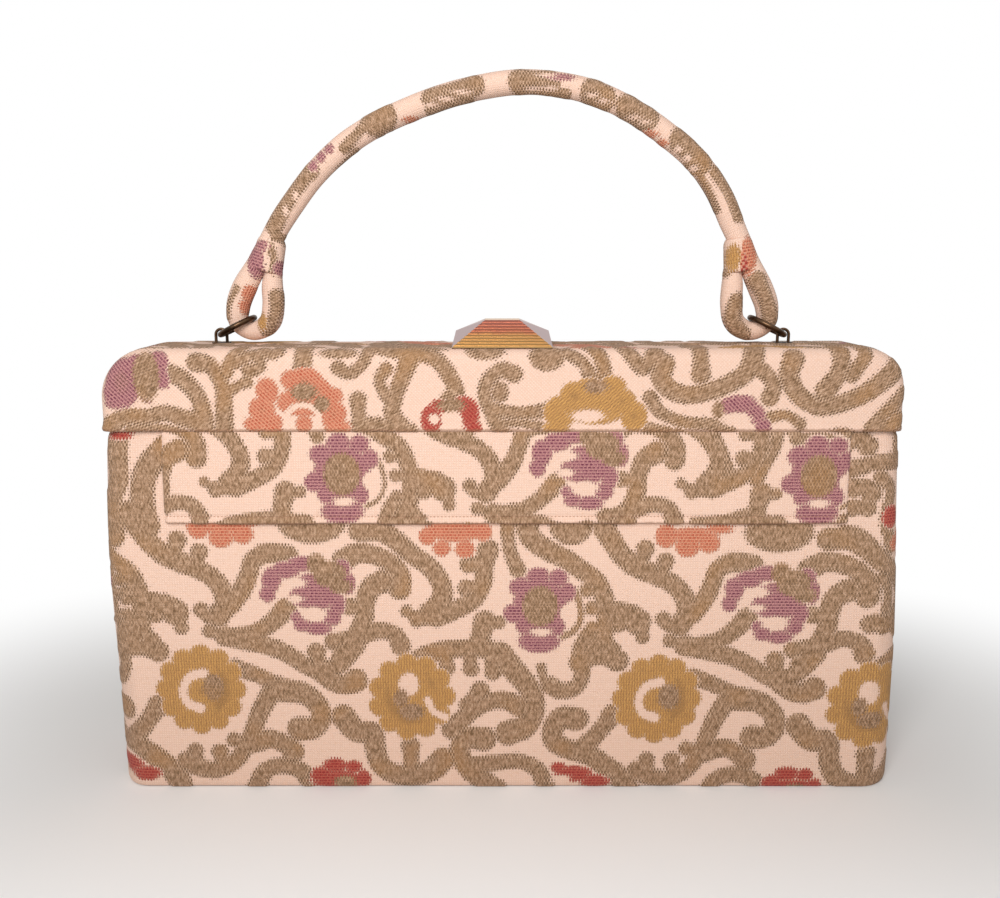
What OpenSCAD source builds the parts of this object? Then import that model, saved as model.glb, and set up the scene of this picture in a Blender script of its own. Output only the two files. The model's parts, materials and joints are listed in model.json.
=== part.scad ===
// Tapestry carpet bag: a stiffened body under a fabric-covered hinge frame,
// with a lift clasp on the frame and a rolled handle looped through two rings.
// The base stands on z = 0 and the front faces -Y. Sizes are millimetres.

/* [Body] */
// Outer width of the body at the base
body_w_base = 309; // [290:1:325]
// Outer width of the body at its rim
body_w_top = 299; // [280:1:320]
// Outer depth of the body at the base
body_d_base = 52; // [44:1:80]
// Outer depth of the body at its rim
body_d_top = 36.6; // [34:0.2:48]
// Height of the body's rim, which sits inside the frame
body_h = 151; // [125:1:180]
// Radius of the upright edges at the base
corner_r_base = 12; // [8:0.5:16]
// Radius of the upright edges at the rim
corner_r_top = 6.5; // [5:0.5:8]
// Size of the soft edge round the base
base_edge = 4; // [2:0.5:6]

/* [Layers] */
// Thickness of the tapestry with its backing
panel_t = 1.4; // [1:0.1:1.8]
// Thickness of the stiffening boards
board_t = 1.6; // [1:0.1:2]
// Thickness of the lining
lining_t = 0.8; // [0.6:0.1:1.2]
// Room between one layer and the next
layer_gap = 0.2; // [0.1:0.05:0.4]
// How far the panels' cloth turns past the upright edges onto the ends
seam_turn = 1.5; // [1:0.1:3]

/* [Pocket] */
// Width of the slip pocket on the front
pocket_w = 261; // [200:1:268]
// Height of the slip pocket
pocket_h = 34; // [25:0.1:60]
// Thickness of the pocket's folded cloth
pocket_t = 1.2; // [0.8:0.1:1.3]
// Distance of the pocket's middle from the bag's middle
pocket_shift = 1.5; // [-6:0.5:6]
// Room between the pocket's top edge and the frame's lower edge
pocket_drop = 1.4; // [1.2:0.1:4]

/* [Frame] */
// Height of the covered frame, top to lower edge
frame_h = 31; // [29:0.5:42]
// How far the body's rim reaches up inside the frame
rim_tuck = 8; // [6:0.5:10]
// Radius of the frame's top corners, seen from the front
frame_corner_r = 15; // [12:0.5:18]
// Radius of the frame's soft edges
frame_edge_r = 5; // [4:0.5:6]
// Thickness of the frame's cover
cover_t = 1.5; // [1.2:0.1:1.8]
// Room between the body and the cover at its lower edge
skirt_ease = 0.45; // [0.4:0.05:1]
// Gap between the two halves along the top
split_gap = 0.8; // [0.6:0.1:1.2]
// Thickness of each metal rail
rail_t = 1.6; // [1.2:0.1:2]
// Width of each metal rail's band
rail_h = 8; // [6:0.5:10]
// Thickness of each hinge leg
leg_t = 1.4; // [1:0.1:1.6]
// Width of each hinge leg
leg_w = 3.2; // [2.6:0.1:3.6]
// Depth of the hinge pivot below the frame's lower edge
pivot_drop = 20; // [16:0.5:24]
// Diameter of the hinge rivet's shank
rivet_d = 3; // [2:0.1:3.6]

/* [Clasp] */
// Width of the clasp's lever along its lower edge
clasp_w = 38; // [30:0.5:44]
// Width of the flat on top of the lever
clasp_top_w = 13.2; // [9:0.2:18]
// Height of the lever
clasp_h = 9.8; // [9.4:0.2:12]
// Reach of the lever in front of the frame's middle
clasp_front = 17; // [14:0.5:18]
// Reach of the lever behind the frame's middle
clasp_rear = 6.5; // [6:0.1:8]
// Thickness of the lever's walls
clasp_wall = 1.3; // [1:0.1:1.6]
// Number of ridges down the lever's front face
ridge_count = 9; // [6:1:11]
// Run of the lever's sloped front face
clasp_slope = 9; // [8:0.5:10]
// Diameter of the clasp's pivot pin
clasp_pin_d = 2; // [1.6:0.1:2.2]

/* [Handle] */
// Diameter of the rolled handle along its arch
handle_d = 10; // [9:0.1:11]
// Distance between the two ring eyes
handle_span = 223.2; // [205:0.2:236]
// Rise of the handle's middle above the ring eyes
handle_rise = 95.2; // [85:0.1:120]
// Distance of the handle behind the frame's middle
handle_back = 6; // [5:0.5:8]
// Thickness of the fabric collars
collar_t = 0.9; // [0.7:0.1:1.2]
// Wire diameter of the rings
ring_d = 2.2; // [1.8:0.1:2.4]
// Wire diameter of the ring eyes
eye_d = 1.2; // [1:0.1:1.4]
// How far the rings can swing to each side, in degrees
ring_swing = 30; // [20:1:30]

/* [Hidden] */

$fn = 48;
hull_fn = 24;
sliver = 0.01;
far = 400;
pin_clear = 0.05;
face_clear = 0.1;
soft_clear = 0.05;

// Heights that the body, frame and hinge share
skirt_z = body_h - rim_tuck;
frame_top = skirt_z + frame_h;
pivot_z = skirt_z - pivot_drop;

// Outer size of the body at any height
function width_at(z) = body_w_base + (body_w_top - body_w_base) * z / body_h;
function depth_at(z) = body_d_base + (body_d_top - body_d_base) * z / body_h;
function corner_at(z) = corner_r_base + (corner_r_top - corner_r_base) * z / body_h;

// Outer size of the closed frame
frame_w = max(body_w_top, width_at(skirt_z)) + 2 * (cover_t + skirt_ease);
skirt_d = depth_at(skirt_z) + 2 * (cover_t + skirt_ease);
frame_lean = 1;
frame_top_d = skirt_d - 2 * frame_lean;

// Rails and hinge legs, from the cover inward
hinge_room = 1.9;
rail_w = min(width_at(pivot_z) - 2 * panel_t, frame_w - 2 * cover_t) - 2 * hinge_room;
rail_top = frame_top - cover_t - layer_gap;
rail_corner_r = frame_corner_r - cover_t;
arm_bottom = frame_top - frame_h / 2;
leg_bend = 6;
leg_joint_z = arm_bottom - leg_bend;
lug_r = rivet_d / 2 + 2.4;
front_leg_out = rail_w / 2;
rear_leg_out = front_leg_out - leg_t - 2 * face_clear;
rivet_head_t = 0.6;
rivet_in = rear_leg_out - leg_t - face_clear - rivet_head_t;
notch_x = rivet_in + 1.2;
notch_z = skirt_z - layer_gap;

// Inner layers
board_inset = panel_t + layer_gap;
lining_inset = board_inset + board_t + layer_gap;
lining_floor = panel_t + layer_gap + board_t + layer_gap;
lining_w_top = 2 * (rivet_in - layer_gap);
lining_w_base = min(lining_w_top, body_w_base - 2 * lining_inset);
board_margin = 4;
board_w = min(body_w_base - 2 * corner_r_base, lining_w_top - 2 * corner_r_top) - board_margin;
board_top = body_h - board_margin;

// Ring eyes, rings and handle ends
eye_x = handle_span / 2;
ring_r = 0.74 * handle_d;
ring_tilt = 27;
eye_z = frame_top + ring_d / 2 + 0.32 * ring_r;
eye_r = (eye_d / 2 + ring_d / 2 + 0.2) / cos(ring_swing);
eye_plate_t = 0.6;

// Clasp pivot, behind the frame's middle
clasp_z = frame_top + layer_gap;
clasp_rear_lift = 1.8;
clasp_rib_x = 9.2;
clasp_rib_t = 2;
ear_x = 7;
ear_t = 1.2;
ear_r = 1.7;
ear_room = 0.3;
ear_heel = 0.2;
clasp_pin_y = clasp_rear - clasp_wall - ear_r - ear_room;
clasp_pin_z = frame_top + 2.9;
clasp_plate_t = 0.9;

// Each handle end, from the arch down round the loop to the tail in the collar:
// distance inward from the eye, height above the eye and radius, in handle diameters
HANDLE_END = [
  [1.73, 4.42, 0.41], [1.53, 3.60, 0.36], [1.31, 2.78, 0.37], [0.93, 1.86, 0.41],
  [0.59, 1.10, 0.42], [0.71, 0.46, 0.42], [1.31, 0.14, 0.42], [2.01, 0.48, 0.41],
  [2.19, 1.16, 0.40], [2.18, 1.96, 0.35], [2.08, 2.62, 0.28], [2.16, 3.36, 0.24],
  [2.33, 3.90, 0.23]
];
// The arch, left to right: share of the half span, and share of the rise
HANDLE_ARCH = [
  [-0.715, 0.546], [-0.661, 0.626], [-0.595, 0.703], [-0.512, 0.780], [-0.394, 0.856],
  [-0.214, 0.938], [-0.078, 0.978], [0.058, 0.998], [0.193, 0.989], [0.329, 0.950],
  [0.469, 0.872], [0.583, 0.780], [0.661, 0.703], [0.718, 0.626], [0.762, 0.546]
];
// Inward lean of each end over the height of its collar, in handle diameters
lean_left = 0.8;
lean_right = 0.5;
lean_from = 2;
lean_over = 2.4;
handle_sides = 12;
handle_steps = 3;

function leaned(p, lean) = p[0] + lean * max(0, p[1] - lean_from) / lean_over;
function end_route(side, lean) = [
  for (p = HANDLE_END)
    [side * (eye_x - handle_d * leaned(p, lean)), eye_z + handle_d * p[1], handle_d * p[2]]
];
function reversed(list) = [for (i = [len(list) - 1:-1:0]) list[i]];
handle_route = concat(
  reversed(end_route(-1, lean_left)),
  [for (p = HANDLE_ARCH) [p[0] * eye_x, eye_z + p[1] * handle_rise, handle_d / 2]],
  end_route(1, lean_right)
);

// A smooth curve through a list of points
function bend(a, b, c, d, t) = 0.5 * (2 * b + (c - a) * t + (2 * a - 5 * b + 4 * c - d) * t * t
  + (3 * b - a - 3 * c + d) * t * t * t);
function smooth(list, steps) = let (last = len(list) - 1) concat(
  [for (i = [0:last - 1], s = [0:steps - 1])
    bend(list[max(i - 1, 0)], list[i], list[i + 1], list[min(i + 2, last)], s / steps)],
  [list[last]]
);

// A round rod along a route of [x, z, radius] in the XZ plane
module rod(route, sides) {
  last = len(route) - 1;
  points = [
    for (i = [0:last])
      let (
        along = route[min(i + 1, last)] - route[max(i - 1, 0)],
        size = norm([along[0], along[1]]),
        out = [along[1], -along[0]] / size
      )
      for (k = [0:sides - 1])
        let (reach = route[i][2] * cos(360 * k / sides))
        [route[i][0] + out[0] * reach, route[i][2] * sin(360 * k / sides), route[i][1] + out[1] * reach]
  ];
  walls = [
    for (i = [0:last - 1], k = [0:sides - 1])
      let (a = i * sides + k, b = i * sides + (k + 1) % sides)
      each [[a, b, b + sides], [a, b + sides, a + sides]]
  ];
  start = [for (k = [sides - 1:-1:0]) k];
  finish = [for (k = [0:sides - 1]) last * sides + k];
  polyhedron(points, concat(walls, [start, finish]), convexity = 8);
}

// A thin rounded rectangle, for hulls
module slab(w, d, r) {
  linear_extrude(sliver)
    offset(r, $fn = hull_fn)
      square([w - 2 * r, d - 2 * r], center = true);
}

// The body's outer form, moved inward by a distance
module body_form(inset) {
  top = body_h + (inset > 0 ? 1 : 0);
  foot = max(inset, 0) / 2;
  edge = foot + base_edge;
  hull() {
    translate([0, 0, foot])
      slab(body_w_base - 2 * (inset + base_edge * 0.7), body_d_base - 2 * (inset + base_edge * 0.7),
        corner_r_base - inset);
    translate([0, 0, edge])
      slab(width_at(edge) - 2 * inset, depth_at(edge) - 2 * inset, corner_r_base - inset);
    translate([0, 0, top])
      slab(width_at(top) - 2 * inset, depth_at(top) - 2 * inset, corner_at(top) - inset);
  }
}

// A layer of the body between two distances from its outer face
module body_layer(outer, inner) {
  difference() {
    body_form(outer);
    body_form(inner);
  }
}

// An outline in the YZ plane, drawn out along X
module along_x(length) {
  rotate([90, 0, 90])
    linear_extrude(length, center = true)
      children();
}

// Distance of the seam between panel and gusset from the bag's middle plane
function seam_at(z) = depth_at(z) / 2 - corner_at(z) - seam_turn;

// The body's front share, cut where its cloth turns onto the gussets
module front_zone() {
  top = body_h + 1;
  along_x(far)
    polygon([[-far, panel_t], [-seam_at(0), panel_t], [-seam_at(top), top], [-far, top]]);
}

module front_wall() {
  difference() {
    intersection() {
      body_layer(0, panel_t);
      front_zone();
    }
    for (side = [-1, 1])
      translate([side * (notch_x + far / 2), 0, notch_z + far / 2])
        cube(far, center = true);
  }
}

module gusset_wall() {
  top = body_h + 1;
  intersection() {
    body_layer(0, panel_t);
    translate([min(body_w_base, body_w_top) / 2 - corner_r_base + far / 2, 0, 0])
      along_x(far)
        polygon([[-seam_at(0), panel_t], [seam_at(0), panel_t], [seam_at(top), top], [-seam_at(top), top]]);
  }
}

module board_wall() {
  intersection() {
    body_layer(board_inset, board_inset + board_t);
    translate([-board_w / 2, -far, lining_floor + base_edge])
      cube([board_w, far, board_top - lining_floor - base_edge]);
  }
}

module lining_form(inset) {
  top = body_h + (inset > 0 ? 1 : 0);
  hull() {
    translate([0, 0, lining_floor + inset])
      slab(lining_w_base - 2 * (inset + base_edge), depth_at(0) - 2 * (lining_inset + inset + base_edge), 6);
    translate([0, 0, lining_floor + inset + base_edge])
      slab(lining_w_base - 2 * inset, depth_at(2 * base_edge) - 2 * (lining_inset + inset), 6);
    translate([0, 0, top])
      slab(lining_w_top - 2 * inset, depth_at(top) - 2 * (lining_inset + inset), 4);
  }
}

// The closed frame's outer form, moved inward by a distance
module frame_form(inset) {
  edge = frame_edge_r - inset;
  reach = frame_corner_r - frame_edge_r;
  hull() {
    for (side = [-1, 1], face = [-1, 1])
      translate([
        side * (frame_w / 2 - frame_corner_r),
        face * (frame_top_d / 2 - frame_edge_r),
        frame_top - frame_corner_r
      ])
        rotate([90, 0, 0])
          rotate_extrude($fn = hull_fn)
            translate([reach, 0])
              circle(edge, $fn = hull_fn);
    translate([0, 0, skirt_z - (inset > 0 ? 1 : 0)])
      slab(frame_w - 2 * inset, skirt_d - 2 * inset, edge);
  }
}

module half_cover() {
  difference() {
    frame_form(0);
    frame_form(cover_t);
    translate([-far / 2, -split_gap / 2, 0])
      cube(far);
  }
}

// An upright outline with a round-cornered top
module arch_2d(w, top, bottom, r) {
  translate([-w / 2, bottom])
    square([w, top - r - bottom]);
  translate([r - w / 2, bottom])
    square([w - 2 * r, top - bottom]);
  for (side = [-1, 1])
    translate([side * (w / 2 - r), top - r])
      intersection() {
        circle(r);
        translate([-r, 0])
          square(2 * r);
      }
}

// One metal half frame: a band along the top and a flat leg down each end to the pivot
module half_rail(leg_out) {
  gap = split_gap / 2;
  difference() {
    union() {
      translate([0, -gap, 0])
        rotate([90, 0, 0])
          linear_extrude(rail_t)
            difference() {
              arch_2d(rail_w, rail_top, arm_bottom, rail_corner_r);
              arch_2d(rail_w - 2 * rail_h, rail_top - rail_h, arm_bottom - 1, rail_corner_r / 2);
            }
      for (side = [-1, 1])
        translate([side * (leg_out - leg_t / 2), 0, 0])
          along_x(leg_t) {
            polygon([
              [-gap, arm_bottom + rail_h],
              [-gap - leg_w, arm_bottom + rail_h],
              [-gap - leg_w, leg_joint_z],
              [-0.95 * lug_r, pivot_z],
              [0.7 * lug_r, pivot_z],
              [-gap, leg_joint_z]
            ]);
            translate([0, pivot_z])
              circle(lug_r);
          }
    }
    translate([0, 0, pivot_z])
      rotate([0, 90, 0])
        cylinder(far, d = rivet_d + 2 * pin_clear, center = true);
  }
}

module hinge_rivet(side) {
  translate([0, 0, pivot_z])
    mirror([side < 0 ? 1 : 0, 0, 0])
      rotate([0, 90, 0]) {
        translate([0, 0, rivet_in])
          cylinder(front_leg_out + face_clear + rivet_head_t - rivet_in, d = rivet_d);
        for (head = [rivet_in, front_leg_out + face_clear])
          translate([0, 0, head])
            cylinder(rivet_head_t, d = rivet_d + 2);
      }
}

// The lever's hipped form: a wide lower edge, a low rear edge and a small flat top
module lever_form(inset) {
  bar = sliver;
  w = clasp_w - 2 * inset;
  hull() {
    translate([-w / 2, inset - clasp_front, clasp_z - inset])
      cube([w, bar, bar]);
    translate([-w / 2, clasp_rear - inset, clasp_z + clasp_rear_lift - inset])
      cube([w, bar, bar]);
    translate([0.6 - w / 2, clasp_rear - inset, clasp_z + clasp_h / 2])
      cube([w - 1.2, bar, bar]);
    translate([inset - clasp_top_w / 2, inset - clasp_front + clasp_slope, clasp_z + clasp_h - inset])
      cube([clasp_top_w - 2 * inset, clasp_front + clasp_rear - 4 / 3 * clasp_slope - 2 * inset, bar]);
  }
}

// Fine grooves across the lever's sloped front face, which leave its ridges
module lever_grooves() {
  slope = [clasp_slope, clasp_h];
  pitch = 1 / (ridge_count + 0.5);
  for (i = [1:ridge_count])
    translate([0, slope[0] * i * pitch - clasp_front, clasp_z + slope[1] * i * pitch])
      rotate([atan2(slope[1], slope[0]) + 45, 0, 0])
        cube([clasp_w + 2, 0.85, 0.85], center = true);
}

module clasp_axis(length, d) {
  translate([0, clasp_pin_y, clasp_pin_z])
    rotate([0, 90, 0])
      cylinder(length, d = d, center = true);
}

module handle_eye(side) {
  translate([side * eye_x, handle_back, 0]) {
    translate([0, 0, eye_z])
      rotate([90, 0, 0])
        rotate_extrude(angle = 180)
          translate([eye_r, 0])
            circle(d = eye_d);
    for (leg = [-1, 1])
      translate([leg * eye_r, 0, frame_top])
        cylinder(eye_z - frame_top, d = eye_d);
    translate([-eye_r - 1.2, -1.6, frame_top])
      cube([2 * eye_r + 2.4, 3.2, eye_plate_t]);
  }
}

module ring(side) {
  translate([side * eye_x, handle_back, eye_z])
    mirror([side > 0 ? 1 : 0, 0, 0])
      rotate([0, -ring_tilt, 0])
        translate([ring_r, 0, 0])
          rotate_extrude()
            translate([ring_r, 0])
              circle(d = ring_d);
}

// The wrap that binds a handle end's tail to its arch
module collar_form(side, lean, inset, over) {
  foot = [1.68, 2.62];
  head = [1.86, 4.02];
  tilt = atan2(head[0] + lean * (head[1] - lean_from) / lean_over - leaned(foot, lean), head[1] - foot[1]);
  length = handle_d * norm([head[0] - foot[0], head[1] - foot[1]]);
  translate([side * (eye_x - handle_d * leaned(foot, lean)), handle_back, eye_z + handle_d * foot[1]])
    rotate([0, -side * tilt, 0])
      hull()
        for (end = [[-over, 0.66, 0.47], [length + over, 0.60, 0.49]])
          translate([0, 0, end[0]])
            linear_extrude(sliver)
              offset(handle_d * end[2] - inset, $fn = hull_fn)
                square([2 * handle_d * (end[1] - end[2]), sliver], center = true);
}

module collar(side, lean) {
  difference() {
    collar_form(side, lean, 0, 0);
    collar_form(side, lean, collar_t, 1);
  }
}

module front_panel() {
  color("tan")
    front_wall();
}

module rear_panel() {
  color("tan")
    mirror([0, 1, 0])
      front_wall();
}

module base_panel() {
  color("tan")
    intersection() {
      body_form(0);
      translate([-far / 2, -far / 2, 0])
        cube([far, far, panel_t]);
    }
}

module left_gusset() {
  color("tan")
    mirror([1, 0, 0])
      gusset_wall();
}

module right_gusset() {
  color("tan")
    gusset_wall();
}

module front_board() {
  color("burlywood")
    board_wall();
}

module rear_board() {
  color("burlywood")
    mirror([0, 1, 0])
      board_wall();
}

module base_board() {
  color("burlywood")
    translate([0, 0, panel_t + layer_gap])
      linear_extrude(board_t)
        square([board_w, body_d_base - 2 * (base_edge + panel_t + 1)], center = true);
}

module lining() {
  color("wheat")
    difference() {
      lining_form(0);
      lining_form(lining_t);
    }
}

module pocket_band() {
  color("tan")
    intersection() {
      body_layer(-pocket_t - soft_clear, -soft_clear);
      translate([pocket_shift - pocket_w / 2, -far, skirt_z - pocket_drop - pocket_h])
        cube([pocket_w, far, pocket_h]);
    }
}

module left_hinge_rivet() {
  color("silver")
    hinge_rivet(-1);
}

module right_hinge_rivet() {
  color("silver")
    hinge_rivet(1);
}

module front_rail() {
  color("silver")
    half_rail(front_leg_out);
}

module rear_rail() {
  color("silver")
    mirror([0, 1, 0])
      half_rail(rear_leg_out);
}

module front_frame_cover() {
  color("tan")
    half_cover();
}

module rear_frame_cover() {
  color("tan")
    mirror([0, 1, 0])
      half_cover();
}

module clasp_keeper() {
  color("goldenrod")
    translate([0, -clasp_front * 0.55, frame_top])
      cylinder(0.9, d = 5);
}

module clasp_base() {
  color("goldenrod")
    difference() {
      union() {
        translate([-ear_x - ear_t, 1, frame_top])
          cube([2 * (ear_x + ear_t), clasp_pin_y + ear_heel - 1, clasp_plate_t]);
        for (side = [-1, 1])
          translate([side * (ear_x + ear_t / 2), 0, 0])
            along_x(ear_t) {
              translate([clasp_pin_y - ear_r, frame_top])
                square([ear_r + ear_heel, clasp_pin_z - frame_top]);
              translate([clasp_pin_y, clasp_pin_z])
                circle(ear_r);
            }
      }
      clasp_axis(far, clasp_pin_d + 2 * pin_clear);
    }
}

module clasp_pin() {
  color("silver")
    clasp_axis(2 * (clasp_rib_x + clasp_rib_t), clasp_pin_d);
}

module clasp_spring() {
  color("silver")
    difference() {
      clasp_axis(2 * (ear_x - face_clear), clasp_pin_d + 1.2);
      clasp_axis(far, clasp_pin_d + 0.3);
    }
}

module clasp_lever() {
  color("gold")
    difference() {
      lever_form(0);
      difference() {
        lever_form(clasp_wall);
        for (side = [-1, 1])
          translate([side * (clasp_rib_x + clasp_rib_t / 2) - clasp_rib_t / 2, 0, frame_top])
            cube([clasp_rib_t, far, far]);
      }
      lever_grooves();
      clasp_axis(2 * (clasp_rib_x + clasp_rib_t + face_clear), clasp_pin_d + 2 * pin_clear);
    }
}

module left_handle_eye() {
  color("dimgray")
    handle_eye(-1);
}

module right_handle_eye() {
  color("dimgray")
    handle_eye(1);
}

module left_ring() {
  color("dimgray")
    ring(-1);
}

module right_ring() {
  color("dimgray")
    ring(1);
}

module handle() {
  color("tan")
    translate([0, handle_back, 0])
      rod(smooth(handle_route, handle_steps), handle_sides);
}

module left_collar() {
  color("tan")
    collar(-1, lean_left);
}

module right_collar() {
  color("tan")
    collar(1, lean_right);
}

front_panel();
rear_panel();
base_panel();
left_gusset();
right_gusset();
front_board();
rear_board();
base_board();
lining();
pocket_band();
left_hinge_rivet();
right_hinge_rivet();
front_rail();
front_frame_cover();
clasp_keeper();
rear_rail();
rear_frame_cover();
clasp_base();
clasp_pin();
clasp_spring();
clasp_lever();
left_handle_eye();
right_handle_eye();
left_ring();
right_ring();
handle();
left_collar();
right_collar();
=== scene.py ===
"""Looks of the carpet bag: woven scroll cloth over the body, frame and handle, gilt clasp, dark rings."""
import json
import math

import bpy
import numpy as np
from mathutils import Euler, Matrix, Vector


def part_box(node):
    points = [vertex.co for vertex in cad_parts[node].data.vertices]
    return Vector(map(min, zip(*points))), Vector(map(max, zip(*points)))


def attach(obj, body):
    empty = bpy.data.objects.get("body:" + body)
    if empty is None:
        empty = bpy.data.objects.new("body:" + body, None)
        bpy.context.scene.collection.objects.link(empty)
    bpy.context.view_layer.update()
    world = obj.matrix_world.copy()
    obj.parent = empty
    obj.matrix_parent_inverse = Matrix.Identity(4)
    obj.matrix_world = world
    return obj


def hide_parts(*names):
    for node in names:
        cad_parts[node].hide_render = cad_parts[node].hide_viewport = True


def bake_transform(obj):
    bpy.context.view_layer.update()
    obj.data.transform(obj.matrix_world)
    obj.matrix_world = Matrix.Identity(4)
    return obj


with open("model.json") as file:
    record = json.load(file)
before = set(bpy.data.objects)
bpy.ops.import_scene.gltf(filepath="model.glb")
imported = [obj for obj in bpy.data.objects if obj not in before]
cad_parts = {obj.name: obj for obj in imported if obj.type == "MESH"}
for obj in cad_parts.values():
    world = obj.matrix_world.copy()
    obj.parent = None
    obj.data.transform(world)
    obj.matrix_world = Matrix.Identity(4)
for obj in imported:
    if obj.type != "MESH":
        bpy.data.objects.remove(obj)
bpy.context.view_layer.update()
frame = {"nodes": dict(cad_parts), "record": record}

MM = 0.001

# The photograph's frame and the camera that took it
PHOTO_W, PHOTO_H = 1000, 898
FOCAL_PX = 943
CAMERA_AT = np.array([-0.9, -370.5, 205.0])
CAMERA_PITCH = math.radians(11.1)
SENSOR_MM = 36


def camera_axes():
    """Right, up and forward of the camera, in the bag's frame."""
    s, c = math.sin(CAMERA_PITCH), math.cos(CAMERA_PITCH)
    return np.array([1, 0, 0]), np.array([0, s, c]), np.array([0, c, -s])


def sight(px, py):
    """Direction of the ray through a pixel of the photograph."""
    right, up, forward = camera_axes()
    return right * (px - PHOTO_W / 2) / FOCAL_PX + up * (PHOTO_H / 2 - py) / FOCAL_PX + forward


def on_slope(px, py, low, high):
    """Where the ray through a pixel meets the plane through two (y, z) points, as (x, z)."""
    ray = sight(px, py)
    along = np.array([high[0] - low[0], high[1] - low[1]])
    normal = np.array([0, along[1], -along[0]])
    t = normal.dot(np.array([0, low[0], low[1]]) - CAMERA_AT) / normal.dot(ray)
    p = CAMERA_AT + t * ray
    return p[0], p[2]


# Sizes that the looks take from the frame, in millimetres
def points_of(node):
    mesh = frame["nodes"][node].data
    co = np.empty(len(mesh.vertices) * 3)
    mesh.vertices.foreach_get("co", co)
    return co.reshape(-1, 3) / MM


def box_mm(node):
    low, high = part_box(node)
    return np.array(low) / MM, np.array(high) / MM


_gusset = points_of("right_gusset")
_front = points_of("front_panel")
RIM_Z = _front[:, 2].max()
_rim = RIM_Z - 0.5
HALF_W_TOP = _gusset[_gusset[:, 2] > _rim][:, 0].max()
HALF_W_FOOT = _gusset[:, 0].max()
HALF_D_TOP = -_front[_front[:, 2] > _rim][:, 1].min()
HALF_D_FOOT = -_front[:, 1].min()
_cover_low, _cover_high = box_mm("front_frame_cover")
SKIRT_Z, FRAME_TOP = _cover_low[2], _cover_high[2]
FRAME_HALF_W = _cover_high[0]
SKIRT_HALF_D = -_cover_low[1]
SPLIT = -_cover_high[1]
# The cloth's own roundings, lean, swell and laps
FRAME_LEAN = 1.0
CORNER_R_LEFT, CORNER_R_RIGHT, FRAME_EDGE_R = 19.0, 15.0, 5.0
CORNER_R_FOOT, CORNER_R_TOP = 12.0, 6.5
BASE_EDGE, BASE_PULL = 3.0, 0.4
BELLY, BELLY_UP = 1.3, 22.0
SEAM_TURN = 1.5
LINING_IN = 4.0
# How far the cloth stands off the solids and the table, and how far it runs up under the frame's skirt
PROUD, OFF_TABLE, UNDER_SKIRT = 0.2, 0.3, 3.0


def share_up(z):
    return np.clip(z / RIM_Z, 0, 1)


def half_width(z):
    return HALF_W_FOOT + (HALF_W_TOP - HALF_W_FOOT) * share_up(z)


def half_depth(z):
    return HALF_D_FOOT + (HALF_D_TOP - HALF_D_FOOT) * share_up(z)


def corner_radius(z):
    return CORNER_R_FOOT + (CORNER_R_TOP - CORNER_R_FOOT) * share_up(z)


PANEL_LOW = (-HALF_D_FOOT, 0.0)
PANEL_HIGH = (-HALF_D_TOP, RIM_Z)
COVER_LOW = (-SKIRT_HALF_D, SKIRT_Z)
COVER_HIGH = (-SKIRT_HALF_D + FRAME_LEAN, FRAME_TOP)


def panel_point(p):
    return on_slope(p[0], p[1], PANEL_LOW, PANEL_HIGH)


def cover_point(p):
    return on_slope(p[0], p[1], COVER_LOW, COVER_HIGH)


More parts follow.
